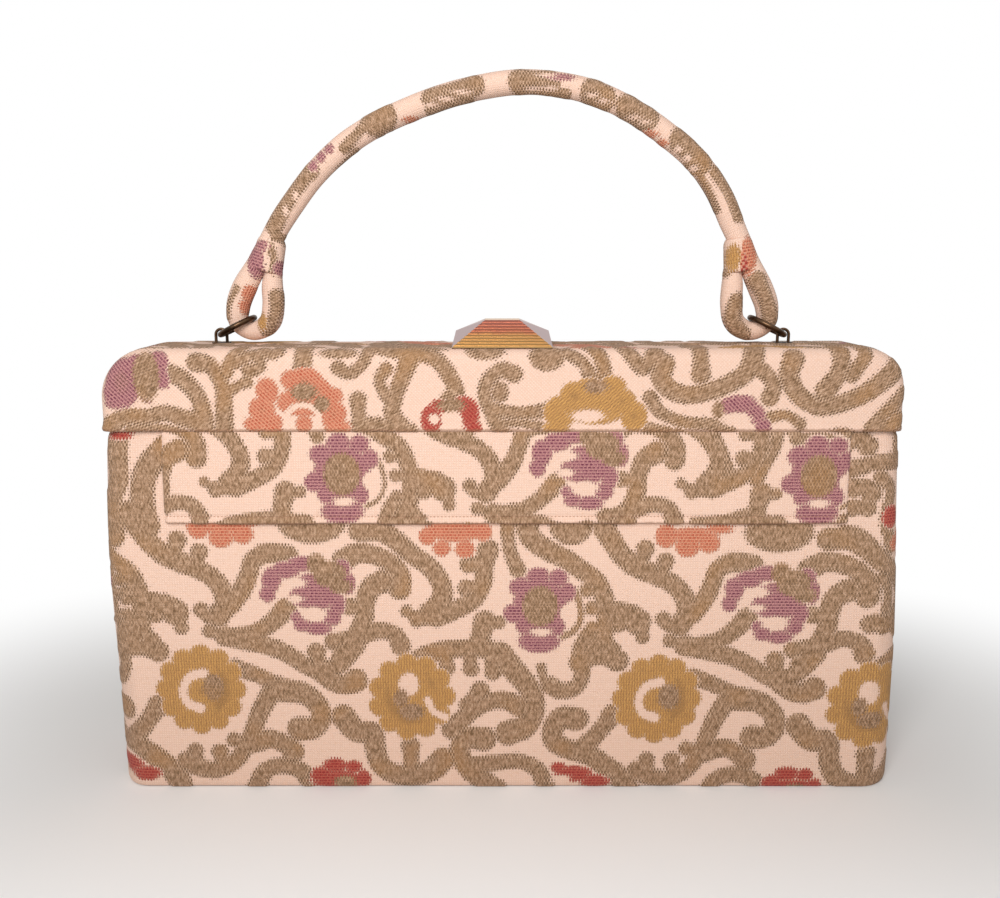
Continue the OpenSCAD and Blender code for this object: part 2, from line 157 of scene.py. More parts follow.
# The woven figure, traced in pixels of the photograph.
# A scroll is a width and the points that its middle line runs through.
SCROLLS = [
    (20, [(138, 520), (145, 530), (157, 546), (172, 556), (189, 565), (207, 573), (219, 583), (225, 595),
          (226, 606), (219, 616)]),
    (14, [(222, 618), (210, 617), (203, 610)]),
    (19, [(231, 604), (243, 589), (250, 572), (254, 560), (271, 553), (288, 556)]),
    (20, [(526, 521), (531, 538), (547, 550), (565, 559), (581, 570), (596, 581), (603, 595), (606, 609),
          (605, 627), (599, 641), (589, 654), (580, 662)]),
    (24, [(610, 613), (628, 614), (637, 621)]),
    (13, [(642, 626), (642, 636)]),
    (18, [(604, 640), (611, 650)]),
    (6, [(574, 590), (580, 606), (580, 620), (573, 631), (562, 636)]),
    (19, [(601, 521), (610, 538), (619, 552), (631, 565), (648, 572)]),
    (20, [(344, 560), (358, 553), (378, 556), (394, 565), (401, 577), (400, 588)]),
    (21, [(383, 581), (371, 588), (365, 604), (364, 620), (355, 640), (344, 656)]),
    (18, [(364, 634), (380, 630), (395, 634), (401, 645)]),
    (13, [(211, 631), (226, 636)]),
    (19, [(226, 636), (253, 642), (272, 647), (288, 654), (308, 666), (325, 672), (341, 662), (355, 645)]),
    (19, [(242, 637), (256, 633), (272, 623), (286, 609)]),
    (22, [(322, 670), (334, 681), (346, 684), (356, 680)]),
    (20, [(360, 530), (381, 531), (396, 540), (412, 554), (428, 565), (438, 577), (443, 590), (440, 602),
          (430, 613)]),
    (16, [(432, 617), (418, 618)]),
    (11, [(417, 617), (407, 611)]),
    (19, [(488, 550), (484, 565), (483, 582), (474, 599), (456, 609), (437, 616)]),
    (14, [(508, 520), (508, 538), (511, 554), (518, 570)]),
    (21, [(485, 622), (481, 634), (480, 645)]),
    (12, [(480, 626), (499, 622)]),
    (20, [(416, 662), (434, 652), (460, 648), (486, 649), (503, 658)]),
    (23, [(500, 654), (515, 671), (529, 688), (534, 706), (526, 725), (508, 732)]),
    (19, [(521, 707), (506, 700), (490, 701), (474, 709), (462, 719), (452, 728)]),
    (9, [(541, 667), (544, 680), (552, 688)]),
    (17, [(550, 685), (560, 690), (575, 687), (582, 672), (580, 652), (588, 636)]),
    (20, [(588, 655), (604, 656), (617, 660)]),
    (22, [(576, 718), (562, 717), (553, 727), (554, 740), (568, 748), (587, 753), (603, 763),
          (619, 776), (628, 790)]),
    (19, [(584, 746), (599, 730), (612, 714)]),
    (22, [(484, 738), (467, 737), (460, 749), (466, 764), (480, 777), (495, 788)]),
    (17, [(474, 764), (498, 761), (520, 760), (537, 768), (545, 784)]),
    (22, [(344, 716), (357, 730), (373, 732), (376, 748), (382, 764), (397, 773), (415, 775),
          (433, 768), (443, 758)]),
    (17, [(236, 668), (255, 674), (273, 682), (288, 688)]),
    (22, [(284, 690), (304, 693), (318, 704), (322, 717), (314, 727), (300, 728)]),
    (18, [(272, 692), (261, 711), (254, 730), (248, 743), (238, 758), (220, 768), (199, 766), (187, 760)]),
    (20, [(252, 742), (272, 738), (287, 744), (294, 750)]),
    (18, [(257, 788), (266, 770), (284, 764), (302, 769), (311, 780)]),
]
# Tabs that stand on the scrolls
TABS = [
    (17, [(317, 652), (320, 668)]), (16, [(334, 641), (352, 637)]), (16, [(350, 606), (364, 608)]),
    (15, [(446, 655), (447, 667)]), (15, [(470, 655), (471, 668)]), (16, [(492, 656), (493, 671)]),
    (18, [(469, 705), (480, 691)]), (17, [(411, 745), (412, 770)]), (14, [(235, 739), (248, 742)]),
    (15, [(196, 750), (199, 766)]), (16, [(221, 751), (225, 766)]), (16, [(469, 564), (483, 566)]),
    (16, [(467, 588), (480, 588)]), (16, [(180, 540), (176, 556)]), (15, [(201, 552), (198, 568)]),
    (13, [(592, 628), (604, 628)]), (13, [(587, 590), (600, 588)]), (13, [(592, 608), (604, 608)]),
]
# Bumps and leaves on the scrolls: middle and half sizes
LEAVES = [
    (271, 553, 18, 10), (618, 622, 10, 10), (312, 523, 33, 20), (571, 523, 22, 22),
]
# Flowers: lobes of each colour, pale islands cut out of them and taupe hearts laid over them
CORAL = [
    (200, 527, 11, 12), (222, 537, 12, 11), (243, 534, 11, 10), (226, 526, 26, 8), (252, 520, 14, 5),
    (428, 536, 9, 9), (442, 548, 9, 8), (465, 549, 10, 9), (483, 532, 9, 10), (456, 530, 30, 12),
]
PLUM = [
    (303, 564, 16, 8), (286, 570, 14, 9), (272, 580, 10, 13), (268, 594, 8, 9), (342, 568, 9, 9),
    (348, 583, 8, 12), (316, 596, 26, 14), (320, 584, 24, 12), (338, 604, 8, 12), (333, 617, 9, 9),
    (319, 628, 14, 7), (303, 625, 9, 7), (297, 617, 6, 6),
    (538, 577, 12, 10), (558, 578, 10, 9), (521, 587, 12, 10), (514, 613, 11, 10), (567, 592, 9, 10),
    (524, 624, 9, 10), (556, 626, 9, 10), (539, 641, 21, 12), (540, 604, 27, 26),
]
GOLD = [(202, 689, 40, 39), (412, 696, 37, 40)]
GOLD_PETALS = [(202, 689, 34, 12, 11), (412, 696, 33, 11, 11)]
RED = [
    (336, 764, 13, 8), (354, 765, 9, 7), (322, 773, 11, 9), (364, 777, 8, 10), (341, 779, 30, 11),
    (573, 772, 20, 9), (594, 780, 16, 8), (558, 766, 8, 6),
]
PALE = [
    (285, 590, 6, 7), (296, 583, 10, 5), (295, 599, 8, 4), (314, 614, 13, 7), (541, 632, 10, 4),
    (568, 613, 8, 9), (409, 684, 10, 12), (560, 778, 10, 5),
]
PALE_ARCS = [
    (9, [(204, 673), (191, 677), (184, 690), (189, 703), (201, 708)]),
    (7, [(428, 700), (434, 711), (446, 717)]),
]
HEARTS = [
    (317, 564, 10, 11), (330, 574, 17, 14), (341, 586, 12, 8), (540, 606, 18, 21), (214, 687, 11, 14),
    (401, 698, 8, 10), (412, 711, 13, 9), (346, 781, 12, 8),
]
# Bits that only show beside the pocket, on the panel's upper ends
UPPER_SCROLLS = [
    (23, [(119, 440), (121, 460), (123, 480), (117, 500), (119, 522), (118, 536)]),
    (24, [(170, 448), (153, 466), (147, 486), (147, 506), (150, 526)]),
    (17, [(844, 470), (858, 467), (874, 463), (900, 462)]),
    (18, [(848, 440), (858, 438), (864, 446)]),
    (18, [(850, 488), (862, 488), (866, 494)]),
    (16, [(850, 508), (862, 508)]),
    (15, [(826, 540), (844, 533), (860, 540), (873, 556), (887, 570), (897, 584)]),
    (17, [(864, 624), (880, 622), (897, 634)]),
    (12, [(902, 430), (895, 446), (893, 462)]),
    (13, [(876, 478), (886, 492), (880, 520), (886, 548)]),
    (12, [(876, 578), (882, 592), (880, 610)]),
    (9, [(112, 572), (117, 596), (119, 618), (125, 640)]),
    (11, [(118, 596), (132, 592)]),
    (11, [(120, 616), (133, 614)]),
]
UPPER_RED = [(122, 436, 13, 5), (886, 518, 10, 12)]

# Bits of the pocket's own cut
POCKET_SCROLLS = [
    (15, [(777, 424), (773, 446), (764, 462), (755, 478)]),
    (10, [(711, 428), (722, 448), (729, 470)]),
    (9, [(692, 520), (720, 517), (744, 511)]),
    (12, [(804, 438), (820, 436), (834, 440)]),
    (11, [(806, 516), (826, 519), (848, 516)]),
]
POCKET_STRETCH, POCKET_TURN = 1.009, -0.92
# How much slimmer the scrolls run on the pocket and the cover, in millimetres on each side
POCKET_SLIM, COVER_SLIM = 0.4, 0.3

# The frame's cover, cut on the bias, has its own run of the figure
COVER_SCROLLS = [
    (19, [(162, 372), (181, 378), (196, 394), (203, 411), (205, 432)]),
    (18, [(200, 423), (180, 417), (165, 413), (148, 417), (126, 417), (106, 428)]),
    (18, [(196, 362), (210, 366), (220, 380), (224, 396), (224, 434)]),
    (12, [(228, 392), (238, 386), (247, 382)]),
    (14, [(226, 372), (232, 357), (240, 344)]),
    (14, [(235, 362), (255, 354), (260, 366), (249, 371)]),
    (14, [(262, 350), (272, 354), (277, 350)]),
    (20, [(303, 338), (303, 356), (302, 376)]),
    (14, [(370, 336), (367, 352), (362, 364), (350, 373), (338, 368)]),
    (16, [(358, 400), (359, 416), (366, 432)]),
    (18, [(376, 344), (404, 352), (430, 356), (446, 370), (456, 392), (449, 401)]),
    (18, [(410, 358), (402, 378), (396, 394), (392, 412), (400, 426)]),
    (13, [(391, 402), (382, 389), (380, 378), (386, 369)]),
    (16, [(358, 426), (376, 424), (396, 428), (410, 432)]),
    (16, [(514, 374), (501, 370), (487, 382), (485, 396), (490, 410), (496, 422), (502, 434)]),
    (15, [(494, 410), (520, 413), (549, 410)]),
    (10, [(500, 424), (520, 423), (540, 426)]),
    (17, [(590, 340), (600, 356), (604, 372), (600, 384)]),
    (14, [(566, 352), (582, 362), (590, 376)]),
    (17, [(622, 338), (632, 356), (644, 368), (656, 352)]),
    (20, [(664, 364), (661, 378), (671, 390), (689, 395), (710, 391), (730, 383), (749, 369), (758, 340)]),
    (18, [(701, 338), (701, 374)]),
    (17, [(752, 364), (766, 374), (774, 386), (770, 397)]),
    (14, [(650, 397), (660, 412), (684, 422), (710, 424), (728, 430)]),
    (12, [(768, 418), (786, 415), (800, 424)]),
    (20, [(794, 358), (789, 376), (798, 394), (816, 406), (835, 405), (860, 396), (880, 383), (902, 364)]),
    (20, [(841, 336), (842, 356), (838, 374), (826, 390)]),
    (16, [(866, 344), (866, 356), (852, 374)]),
    (16, [(872, 428), (884, 414), (906, 394)]),
    (18, [(884, 430), (900, 420)]),
    (14, [(640, 426), (660, 431), (680, 436)]),
    (10, [(130, 429), (156, 427), (182, 432)]),
]
COVER_LEAVES = [
    (338, 352, 20, 7), (500, 392, 9, 11), (485, 350, 20, 10), (547, 356, 18, 15), (840, 432, 12, 5),
    (420, 346, 26, 7),
]
COVER_PLUM = [
    (122, 382, 18, 25), (112, 392, 10, 14), (116, 403, 12, 6), (136, 364, 12, 10), (157, 362, 11, 12),
    (160, 380, 9, 14), (149, 395, 9, 8),
    (740, 404, 18, 9), (728, 406, 10, 8), (756, 414, 9, 10), (763, 426, 8, 8),
]
COVER_CORAL = [
    (267, 391, 11, 13), (262, 410, 13, 13), (256, 424, 12, 8), (272, 424, 12, 10), (292, 380, 11, 10),
    (305, 382, 18, 14), (318, 392, 14, 14), (332, 396, 11, 9), (332, 414, 14, 14), (338, 428, 13, 8),
    (303, 402, 26, 14), (304, 424, 8, 9),
]
COVER_RED = [(431, 420, 10, 15), (470, 414, 9, 16), (462, 404, 10, 8), (440, 406, 10, 7), (474, 428, 8, 8)]
COVER_GOLD = [
    (560, 412, 16, 16), (574, 396, 14, 14), (590, 390, 16, 12), (612, 388, 14, 12), (622, 402, 14, 13),
    (634, 416, 13, 15), (556, 428, 13, 8), (596, 408, 30, 16),
]
COVER_PALE = [
    (166, 397, 17, 8), (454, 421, 8, 9), (434, 419, 5, 5),
    (588, 416, 15, 6), (736, 420, 15, 7),
]
COVER_PALE_ARCS = [
    (6, [(286, 432), (286, 417), (293, 408), (304, 405), (314, 409), (319, 418), (319, 432)]),
]
COVER_HEARTS = [
    (146, 376, 13, 25), (451, 405, 14, 7), (596, 386, 12, 7), (304, 392, 13, 9), (718, 410, 6, 9),
    (322, 404, 8, 8),
]

# The handle's strip of cloth and its two wraps
HANDLE_SCROLLS = [
    (15, [(274, 226), (288, 201), (303, 180), (311, 170)]),
    (5, [(329, 182), (345, 161), (356, 150)]),
    (10, [(345, 148), (356, 135), (367, 124)]),
    (27, [(376, 120), (381, 117)]),
    (18, [(432, 98), (474, 85)]),
    (8, [(430, 110), (452, 103), (470, 98)]),
    (22, [(521, 81), (548, 82)]),
    (9, [(556, 92), (566, 94)]),
    (25, [(595, 92), (601, 97)]),
    (24, [(630, 107), (645, 117)]),
    (24, [(683, 140), (699, 161)]),
    (12, [(716, 172), (730, 195), (739, 216)]),
    (6, [(700, 174), (711, 194), (717, 210)]),
    (6, [(237, 288), (229, 304), (227, 318)]),
    (12, [(276, 296), (275, 314), (267, 330)]),
    (17, [(738, 302), (733, 318), (742, 336)]),
    (16, [(757, 280), (766, 300), (772, 320)]),
    (9, [(720, 240), (722, 260), (726, 272)]),
    (10, [(276, 236), (287, 242)]),
]
HANDLE_LEAVES = [(272, 258, 5, 14)]
HANDLE_PLUM = [
    (313, 166, 5, 6), (321, 157, 5, 6), (329, 149, 5, 5), (562, 77, 13, 4), (256, 262, 9, 17),
    (262, 246, 8, 6), (281, 269, 8, 8),
]
HANDLE_RED = [(744, 264, 3, 9)]
HANDLE_CORAL = [
    (250, 295, 8, 10), (246, 307, 7, 9), (748, 256, 9, 19), (411, 119, 8, 3), (648, 134, 10, 4),
    (662, 143, 6, 4),
]
HANDLE_GOLD = [(733, 258, 7, 14), (262, 322, 5, 9)]
HANDLE_PALE = [
    (268, 262, 3, 12), (430, 105, 8, 2), (446, 99, 9, 2), (462, 92, 9, 2), (534, 88, 8, 2), (549, 88, 8, 2),
    (546, 75, 9, 2), (592, 95, 6, 2), (604, 101, 6, 2), (634, 117, 6, 2), (645, 122, 6, 2), (678, 149, 4, 3),
    (687, 158, 4, 3), (694, 168, 4, 3), (286, 211, 3, 5), (296, 196, 3, 5),
]

# One repeat of the cloth, from a point to its copy, and the pocket's place on the cloth
REPEAT_FROM, REPEAT_TO = (224, 621), (683, 630)
POCKET_POINT, POCKET_COPY = (345, 475), (542, 608)
# Millimetres of cloth to a pixel
PX_MM = 0.392


# Distances to the figure, in millimetres, and the one that stands for none
FAR = 40.0


def smooth_line(points, steps=5):
    """A smooth run of points through a given list."""
    p = np.array(points, float)
    q = np.vstack([2 * p[0] - p[1], p, 2 * p[-1] - p[-2]])
    out = []
    for i in range(1, len(q) - 2):
        a, b, c, d = q[i - 1], q[i], q[i + 1], q[i + 2]
        for t in np.arange(steps) / steps:
            out.append(0.5 * (2 * b + (c - a) * t + (2 * a - 5 * b + 4 * c - d) * t ** 2
                              + (3 * b - a - 3 * c + d) * t ** 3))
    out.append(p[-1])
    return np.array(out)


def near(uv, low, high, margin=9.0):
    """Which cloth points lie in a box or close to it."""
    return np.nonzero(((uv >= low - margin) & (uv <= high + margin)).all(axis=1))[0]


# A scroll's width in its middle and how much wider it is at its ends
SLIM, FLARE = 0.92, 0.2


def scroll_distance(uv, scrolls, place):
    """Signed distance from cloth points to the scrolls, negative inside."""
    d = np.full(len(uv), FAR)
    for width, points in scrolls:
        line = smooth_line([place(p) for p in points])
        pick = near(uv, line.min(axis=0), line.max(axis=0))
        if not len(pick):
            continue
        half = width * PX_MM / 2
        q = uv[pick]
        best = np.full(len(q), FAR)
        for i, (a, b) in enumerate(zip(line[:-1], line[1:])):
            ab = b - a
            t = np.clip(((q - a) @ ab) / max(ab @ ab, 1e-9), 0, 1)
            fat = SLIM + FLARE * (2 * (i + t) / (len(line) - 1) - 1) ** 2
            best = np.minimum(best, np.hypot(*(q - a - t[:, None] * ab).T) - half * fat)
        d[pick] = np.minimum(d[pick], best)
    return d


def lobe_distance(uv, lobes, place):
    """Signed distance to a set of ellipses."""
    d = np.full(len(uv), FAR)
    for x, y, rx, ry in lobes:
        c = np.array(place((x, y)))
        r = np.array([rx, ry]) * PX_MM
        pick = near(uv, c - r, c + r)
        q = (uv[pick] - c) / r
        d[pick] = np.minimum(d[pick], (np.hypot(*q.T) - 1) * r.min())
    return d


COLOURS = ("taupe", "plum", "coral", "gold", "red")


def weave_over(parts):
    """Lays the flowers over the scrolls, and the pale islands and hearts over the flowers."""
    flowers = {c: parts[c] for c in COLOURS[1:]}
    covered = np.minimum.reduce(list(flowers.values()))
    taupe = np.maximum(parts["taupe"], -covered)
    out = {c: np.maximum(d, -parts["pale"]) for c, d in flowers.items()}
    out["taupe"] = np.maximum(taupe, -parts["pale"])
    out["heart"] = parts["heart"]
    return out


def petals(rings):
    """Small round petals set about the middle of each flower."""
    lobes = []
    for x, y, far, count, size in rings:
        for a in 2 * math.pi * np.arange(count) / count:
            lobes.append((x + far * math.cos(a), y + far * math.sin(a), size, size))
    return lobes


# The scrolls and the lobes that draw each layer of a figure
CLOTH_PARTS = {
    "taupe": (SCROLLS + TABS, LEAVES), "plum": ([], PLUM), "coral": ([], CORAL), "red": ([], RED),
    "gold": ([], GOLD + petals(GOLD_PETALS)), "pale": (PALE_ARCS, PALE), "heart": ([], HEARTS),
}
COVER_PARTS = {
    "taupe": (COVER_SCROLLS, COVER_LEAVES), "plum": ([], COVER_PLUM), "coral": ([], COVER_CORAL),
    "red": ([], COVER_RED), "gold": ([], COVER_GOLD), "pale": (COVER_PALE_ARCS, COVER_PALE),
    "heart": ([], COVER_HEARTS),
}
HANDLE_PARTS = {
    "taupe": (HANDLE_SCROLLS, HANDLE_LEAVES), "plum": ([], HANDLE_PLUM), "coral": ([], HANDLE_CORAL),
    "red": ([], HANDLE_RED), "gold": ([], HANDLE_GOLD), "pale": ([], HANDLE_PALE), "heart": ([], []),
}


def parts_at(uv, parts, place):
    """Signed distances to every layer of a figure."""
    return {layer: np.minimum(scroll_distance(uv, scrolls, place), lobe_distance(uv, lobes, place))
            for layer, (scrolls, lobes) in parts.items()}


REPEAT = np.array(panel_point(REPEAT_TO)) - np.array(panel_point(REPEAT_FROM))
POCKET_SHIFT = np.array(panel_point(POCKET_COPY)) - np.array(panel_point(POCKET_POINT))
# Each row of the cloth sits along and above the last one
DROP_ALONG, DROP_UP = 0.42, 103.0
DROP = np.array([REPEAT[0] * DROP_ALONG, DROP_UP])
REPEATS, ROWS = (-2, -1, 0, 1, 2), (-1, 0, 1)


def cloth_figure(uv, rows=(0,)):
    """The cloth's figure at cloth points, as signed distances of each colour."""
    sums = None
    for row in rows:
        for step in REPEATS:
            parts = parts_at(uv - (step * REPEAT + row * DROP), CLOTH_PARTS, panel_point)
            sums = parts if sums is None else {k: np.minimum(sums[k], parts[k]) for k in parts}
    return weave_over(sums)


# Where on the cloth the unseen pieces are cut, and the turn of what is cut on the bias, in degrees
REAR_CUT, GUSSET_CUT, PLEAT_CUT = np.array([[61.0, -14.0], [90.0, -20.0], [40.0, -60.0]])
BASE_CUT, COVER_CUT = np.array([[20.0, 50.0], [30.0, -100.0]])
BIAS = 45


def rear_figure(uv):
    return cloth_figure(uv + REAR_CUT, ROWS)


def rear_cover_figure(uv):
    return cloth_figure(turn_uv(uv + COVER_CUT, BIAS), ROWS)


def front_figure(uv):
    """The front panel's figure, with the bits that show beside the pocket."""
    figure = cloth_figure(uv)
    upper = scroll_distance(uv, UPPER_SCROLLS, panel_point)
    red = lobe_distance(uv, UPPER_RED, panel_point)
    figure["taupe"] = np.maximum(np.minimum(figure["taupe"], upper), -red)
    figure["red"] = np.minimum(figure["red"], red)
    return figure


# The front cover's traced figure gives way to the rear's this far beyond the outline
OVER_EDGE = 2.0


def cover_figure(uv):
    """The figure on the front half of the frame's cover."""
    parts = parts_at(uv, COVER_PARTS, cover_point)
    parts["taupe"] += COVER_SLIM
    figure = weave_over(parts)
    over = np.minimum(FRAME_TOP + OVER_EDGE - uv[:, 1], FRAME_HALF_W + OVER_EDGE - np.abs(uv[:, 0]))
    for colour, distance in rear_cover_figure(uv).items():
        figure[colour] = np.minimum(figure[colour], np.maximum(distance, over))
    return figure


# How far back the handle's near side and its middle stand
HANDLE_FRONT, HANDLE_BACK = 2.0, 6.0


def handle_place(p):
    return on_slope(p[0], p[1], (HANDLE_FRONT, 0.0), (HANDLE_FRONT, 300.0))


def handle_figure(points):
    """The figure on the handle, at places seen from the front."""
    return weave_over(parts_at(points[..., [0, 2]].reshape(-1, 2), HANDLE_PARTS, handle_place))


# Mesh building
def turn_uv(uv, degrees):
    a = math.radians(degrees)
    return uv @ np.array([[math.cos(a), math.sin(a)], [-math.sin(a), math.cos(a)]])


def make_mesh(name, verts, faces):
    mesh = bpy.data.meshes.new(name)
    mesh.vertices.add(len(verts))
    mesh.vertices.foreach_set("co", (np.asarray(verts) * MM).astype(np.float32).ravel())
    faces = np.asarray(faces, np.int32)
    mesh.loops.add(faces.size)
    mesh.loops.foreach_set("vertex_index", faces.ravel())
    mesh.polygons.add(len(faces))
    mesh.polygons.foreach_set("loop_start", np.arange(0, faces.size, 4, dtype=np.int32))
    mesh.update(calc_edges=True)
    mesh.validate()
    mesh.polygons.foreach_set("use_smooth", np.ones(len(mesh.polygons), bool))
    piece = bpy.data.objects.new(name, mesh)
    bpy.context.scene.collection.objects.link(piece)
    return piece


def grid_faces(rows, cols, close_cols=False, first=0):
    i, j = np.meshgrid(np.arange(rows - 1), np.arange(cols if close_cols else cols - 1), indexing="ij")
    k = (j + 1) % cols
    a, b, c, d = i * cols + j, i * cols + k, (i + 1) * cols + k, (i + 1) * cols + j
    return np.stack([a, b, c, d], axis=-1).reshape(-1, 4) + first


def set_cloth(piece, figure, threads):
    """Stores the figure and the thread directions on the mesh, for the cloth's material."""
    mesh = piece.data
    for layer in COLOURS + ("heart", "fold", "seam"):
        values = figure.get(layer, np.full(len(threads), FAR)).astype(np.float32)
        mesh.attributes.new(layer, "FLOAT", "POINT").data.foreach_set("value", values)
    threads = np.column_stack([threads, np.zeros(len(threads))])
    mesh.attributes.new("threads", "FLOAT_VECTOR", "POINT").data.foreach_set(
        "vector", threads.astype(np.float32).ravel())


SCROLL_RISE, FLOWER_RISE, RISE_FROM, RISE_OVER = 0.35, 0.2, 0.3, 1.2


def relief(figure):
    """How far the woven figure stands out of the ground, in millimetres."""
    rise = np.zeros(len(figure["taupe"]))
    for colour in COLOURS:
        height = SCROLL_RISE if colour == "taupe" else FLOWER_RISE
        rise = np.maximum(rise, height * np.clip((RISE_FROM - figure[colour]) / RISE_OVER, 0, 1))
    return rise


CORNER_POINTS, SEAM_POINTS = 14, 4


def plan_path(z, count_front):
    """The front half of the body's outline at a height, from one seam to the other, with outward normals."""
    a, b, r = half_width(z), half_depth(z), corner_radius(z)
    left = [(-a, -(b - r) + SEAM_TURN * (1 - e)) for e in np.linspace(0, 1, SEAM_POINTS)[:-1]]
    left_n = [(-1, 0)] * len(left)
    arc = np.linspace(0, math.pi / 2, CORNER_POINTS)
    left += [(-(a - r) - r * math.cos(t), -(b - r) - r * math.sin(t)) for t in arc]
    left_n += [(-math.cos(t), -math.sin(t)) for t in arc]
    face = [(x, -b) for x in np.linspace(-(a - r), a - r, count_front)[1:-1]]
    points = left + face + [(-x, y) for x, y in reversed(left)]
    normals = left_n + [(0, -1)] * len(face) + [(-x, y) for x, y in reversed(left_n)]
    return np.array(points), np.array(normals)


SLACK, LONG_RIPPLE, SHORT_RIPPLE = 0.9, 0.25, 0.18


def slack(x, z):
    """Soft swell of the cloth between its edges, in millimetres."""
    across = np.clip(1 - (x / HALF_W_FOOT) ** 4, 0, 1)
    up = np.sin(math.pi * np.clip(z / RIM_Z, 0, 1)) ** 0.8
    ripple = LONG_RIPPLE * np.sin(x / 37 + 0.6) * np.sin(z / 23 + x / 90)
    ripple = ripple + SHORT_RIPPLE * np.sin(x / 17 - z / 31)
    return across * up * (SLACK + ripple)


def belly(z):
    """How far the cloth stands out over the base's edges."""
    return BELLY * np.exp(-(z / BELLY_UP) ** 2)


SWELL_Z = (0, 12, 28, 45, 62, 80, 100, 120, 134, 140, 143, 152)
SWELL_LEFT = (-2.0, -1.5, -0.6, 0.6, 1.8, 2.9, 3.2, 3.0, 2.7, 1.9, 0.5, 0.0)
SWELL_RIGHT = (1.2, 2.1, 3.0, 3.6, 3.9, 3.7, 3.3, 2.9, 2.6, 1.9, 0.5, 0.0)


def side_swell(z, side):
    """How far each end of the body stands out or is pulled in at a height, in millimetres."""
    return np.interp(z, SWELL_Z, SWELL_LEFT if side < 0 else SWELL_RIGHT)


def body_heights(step):
    """Heights of the rows of a body panel, with the soft edge round the base."""
    edge = np.linspace(0, math.pi / 2, 7)
    low = [(BASE_EDGE * (1 - math.sin(t)), BASE_EDGE * (1 - math.cos(t))) for t in edge]
    high = np.arange(BASE_EDGE + step, RIM_Z, step)
    return low + [(0.0, z) for z in high] + [(0.0, RIM_Z)]


# The share of the half width where the ends' swell starts, and how squarely cloth with slack faces out
SWELL_FROM, SQUARE_ON = 0.6, 0.95


def level(x, y, z):
    """A row of points at one height."""
    return np.column_stack([x, y, np.full(len(x), z)])


def shell_rows(face, step):
    """Points and cloth places of the front (face -1) or rear (face 1) shell of the body."""
    points, cloth = [], []
    count = int(2 * (HALF_W_FOOT - CORNER_R_FOOT) / step)
    for pull, z in body_heights(step):
        plan, normal = plan_path(z, count)
        run = np.concatenate([[0], np.cumsum(np.hypot(*np.diff(plan, axis=0).T))])
        out = PROUD - pull * BASE_PULL + slack(plan[:, 0], z) * (normal[:, 1] < -SQUARE_ON)
        out = out + belly(z) * np.abs(normal[:, 1])
        shifted = plan + normal * out[:, None]
        ends = (np.abs(plan[:, 0]) - HALF_W_FOOT * SWELL_FROM) / (HALF_W_FOOT * (1 - SWELL_FROM))
        swell = np.where(plan[:, 0] * face > 0, side_swell(z, -1), side_swell(z, 1))
        shifted[:, 0] += np.sign(plan[:, 0]) * swell * np.clip(ends, 0, 1) ** 2
        points.append(level(shifted[:, 0] * -face, shifted[:, 1] * -face, z + OFF_TABLE))
        cloth.append(np.column_stack([run - run[-1] / 2, np.full(len(plan), z)]))
    return np.array(points), np.array(cloth).reshape(-1, 2)


def lift(points, rise):
    """Moves grid points out along the grid's normals."""
    du = np.gradient(points, axis=1)
    dv = np.gradient(points, axis=0)
    n = np.cross(du, dv)
    n /= np.maximum(np.linalg.norm(n, axis=2, keepdims=True), 1e-9)
    return points + n * rise.reshape(points.shape[:2])[..., None]


# Materials
def srgb(r, g, b):
    def linear(c):
        c /= 255
        return c / 12.92 if c <= 0.04045 else ((c + 0.055) / 1.055) ** 2.4
    return (linear(r), linear(g), linear(b), 1.0)


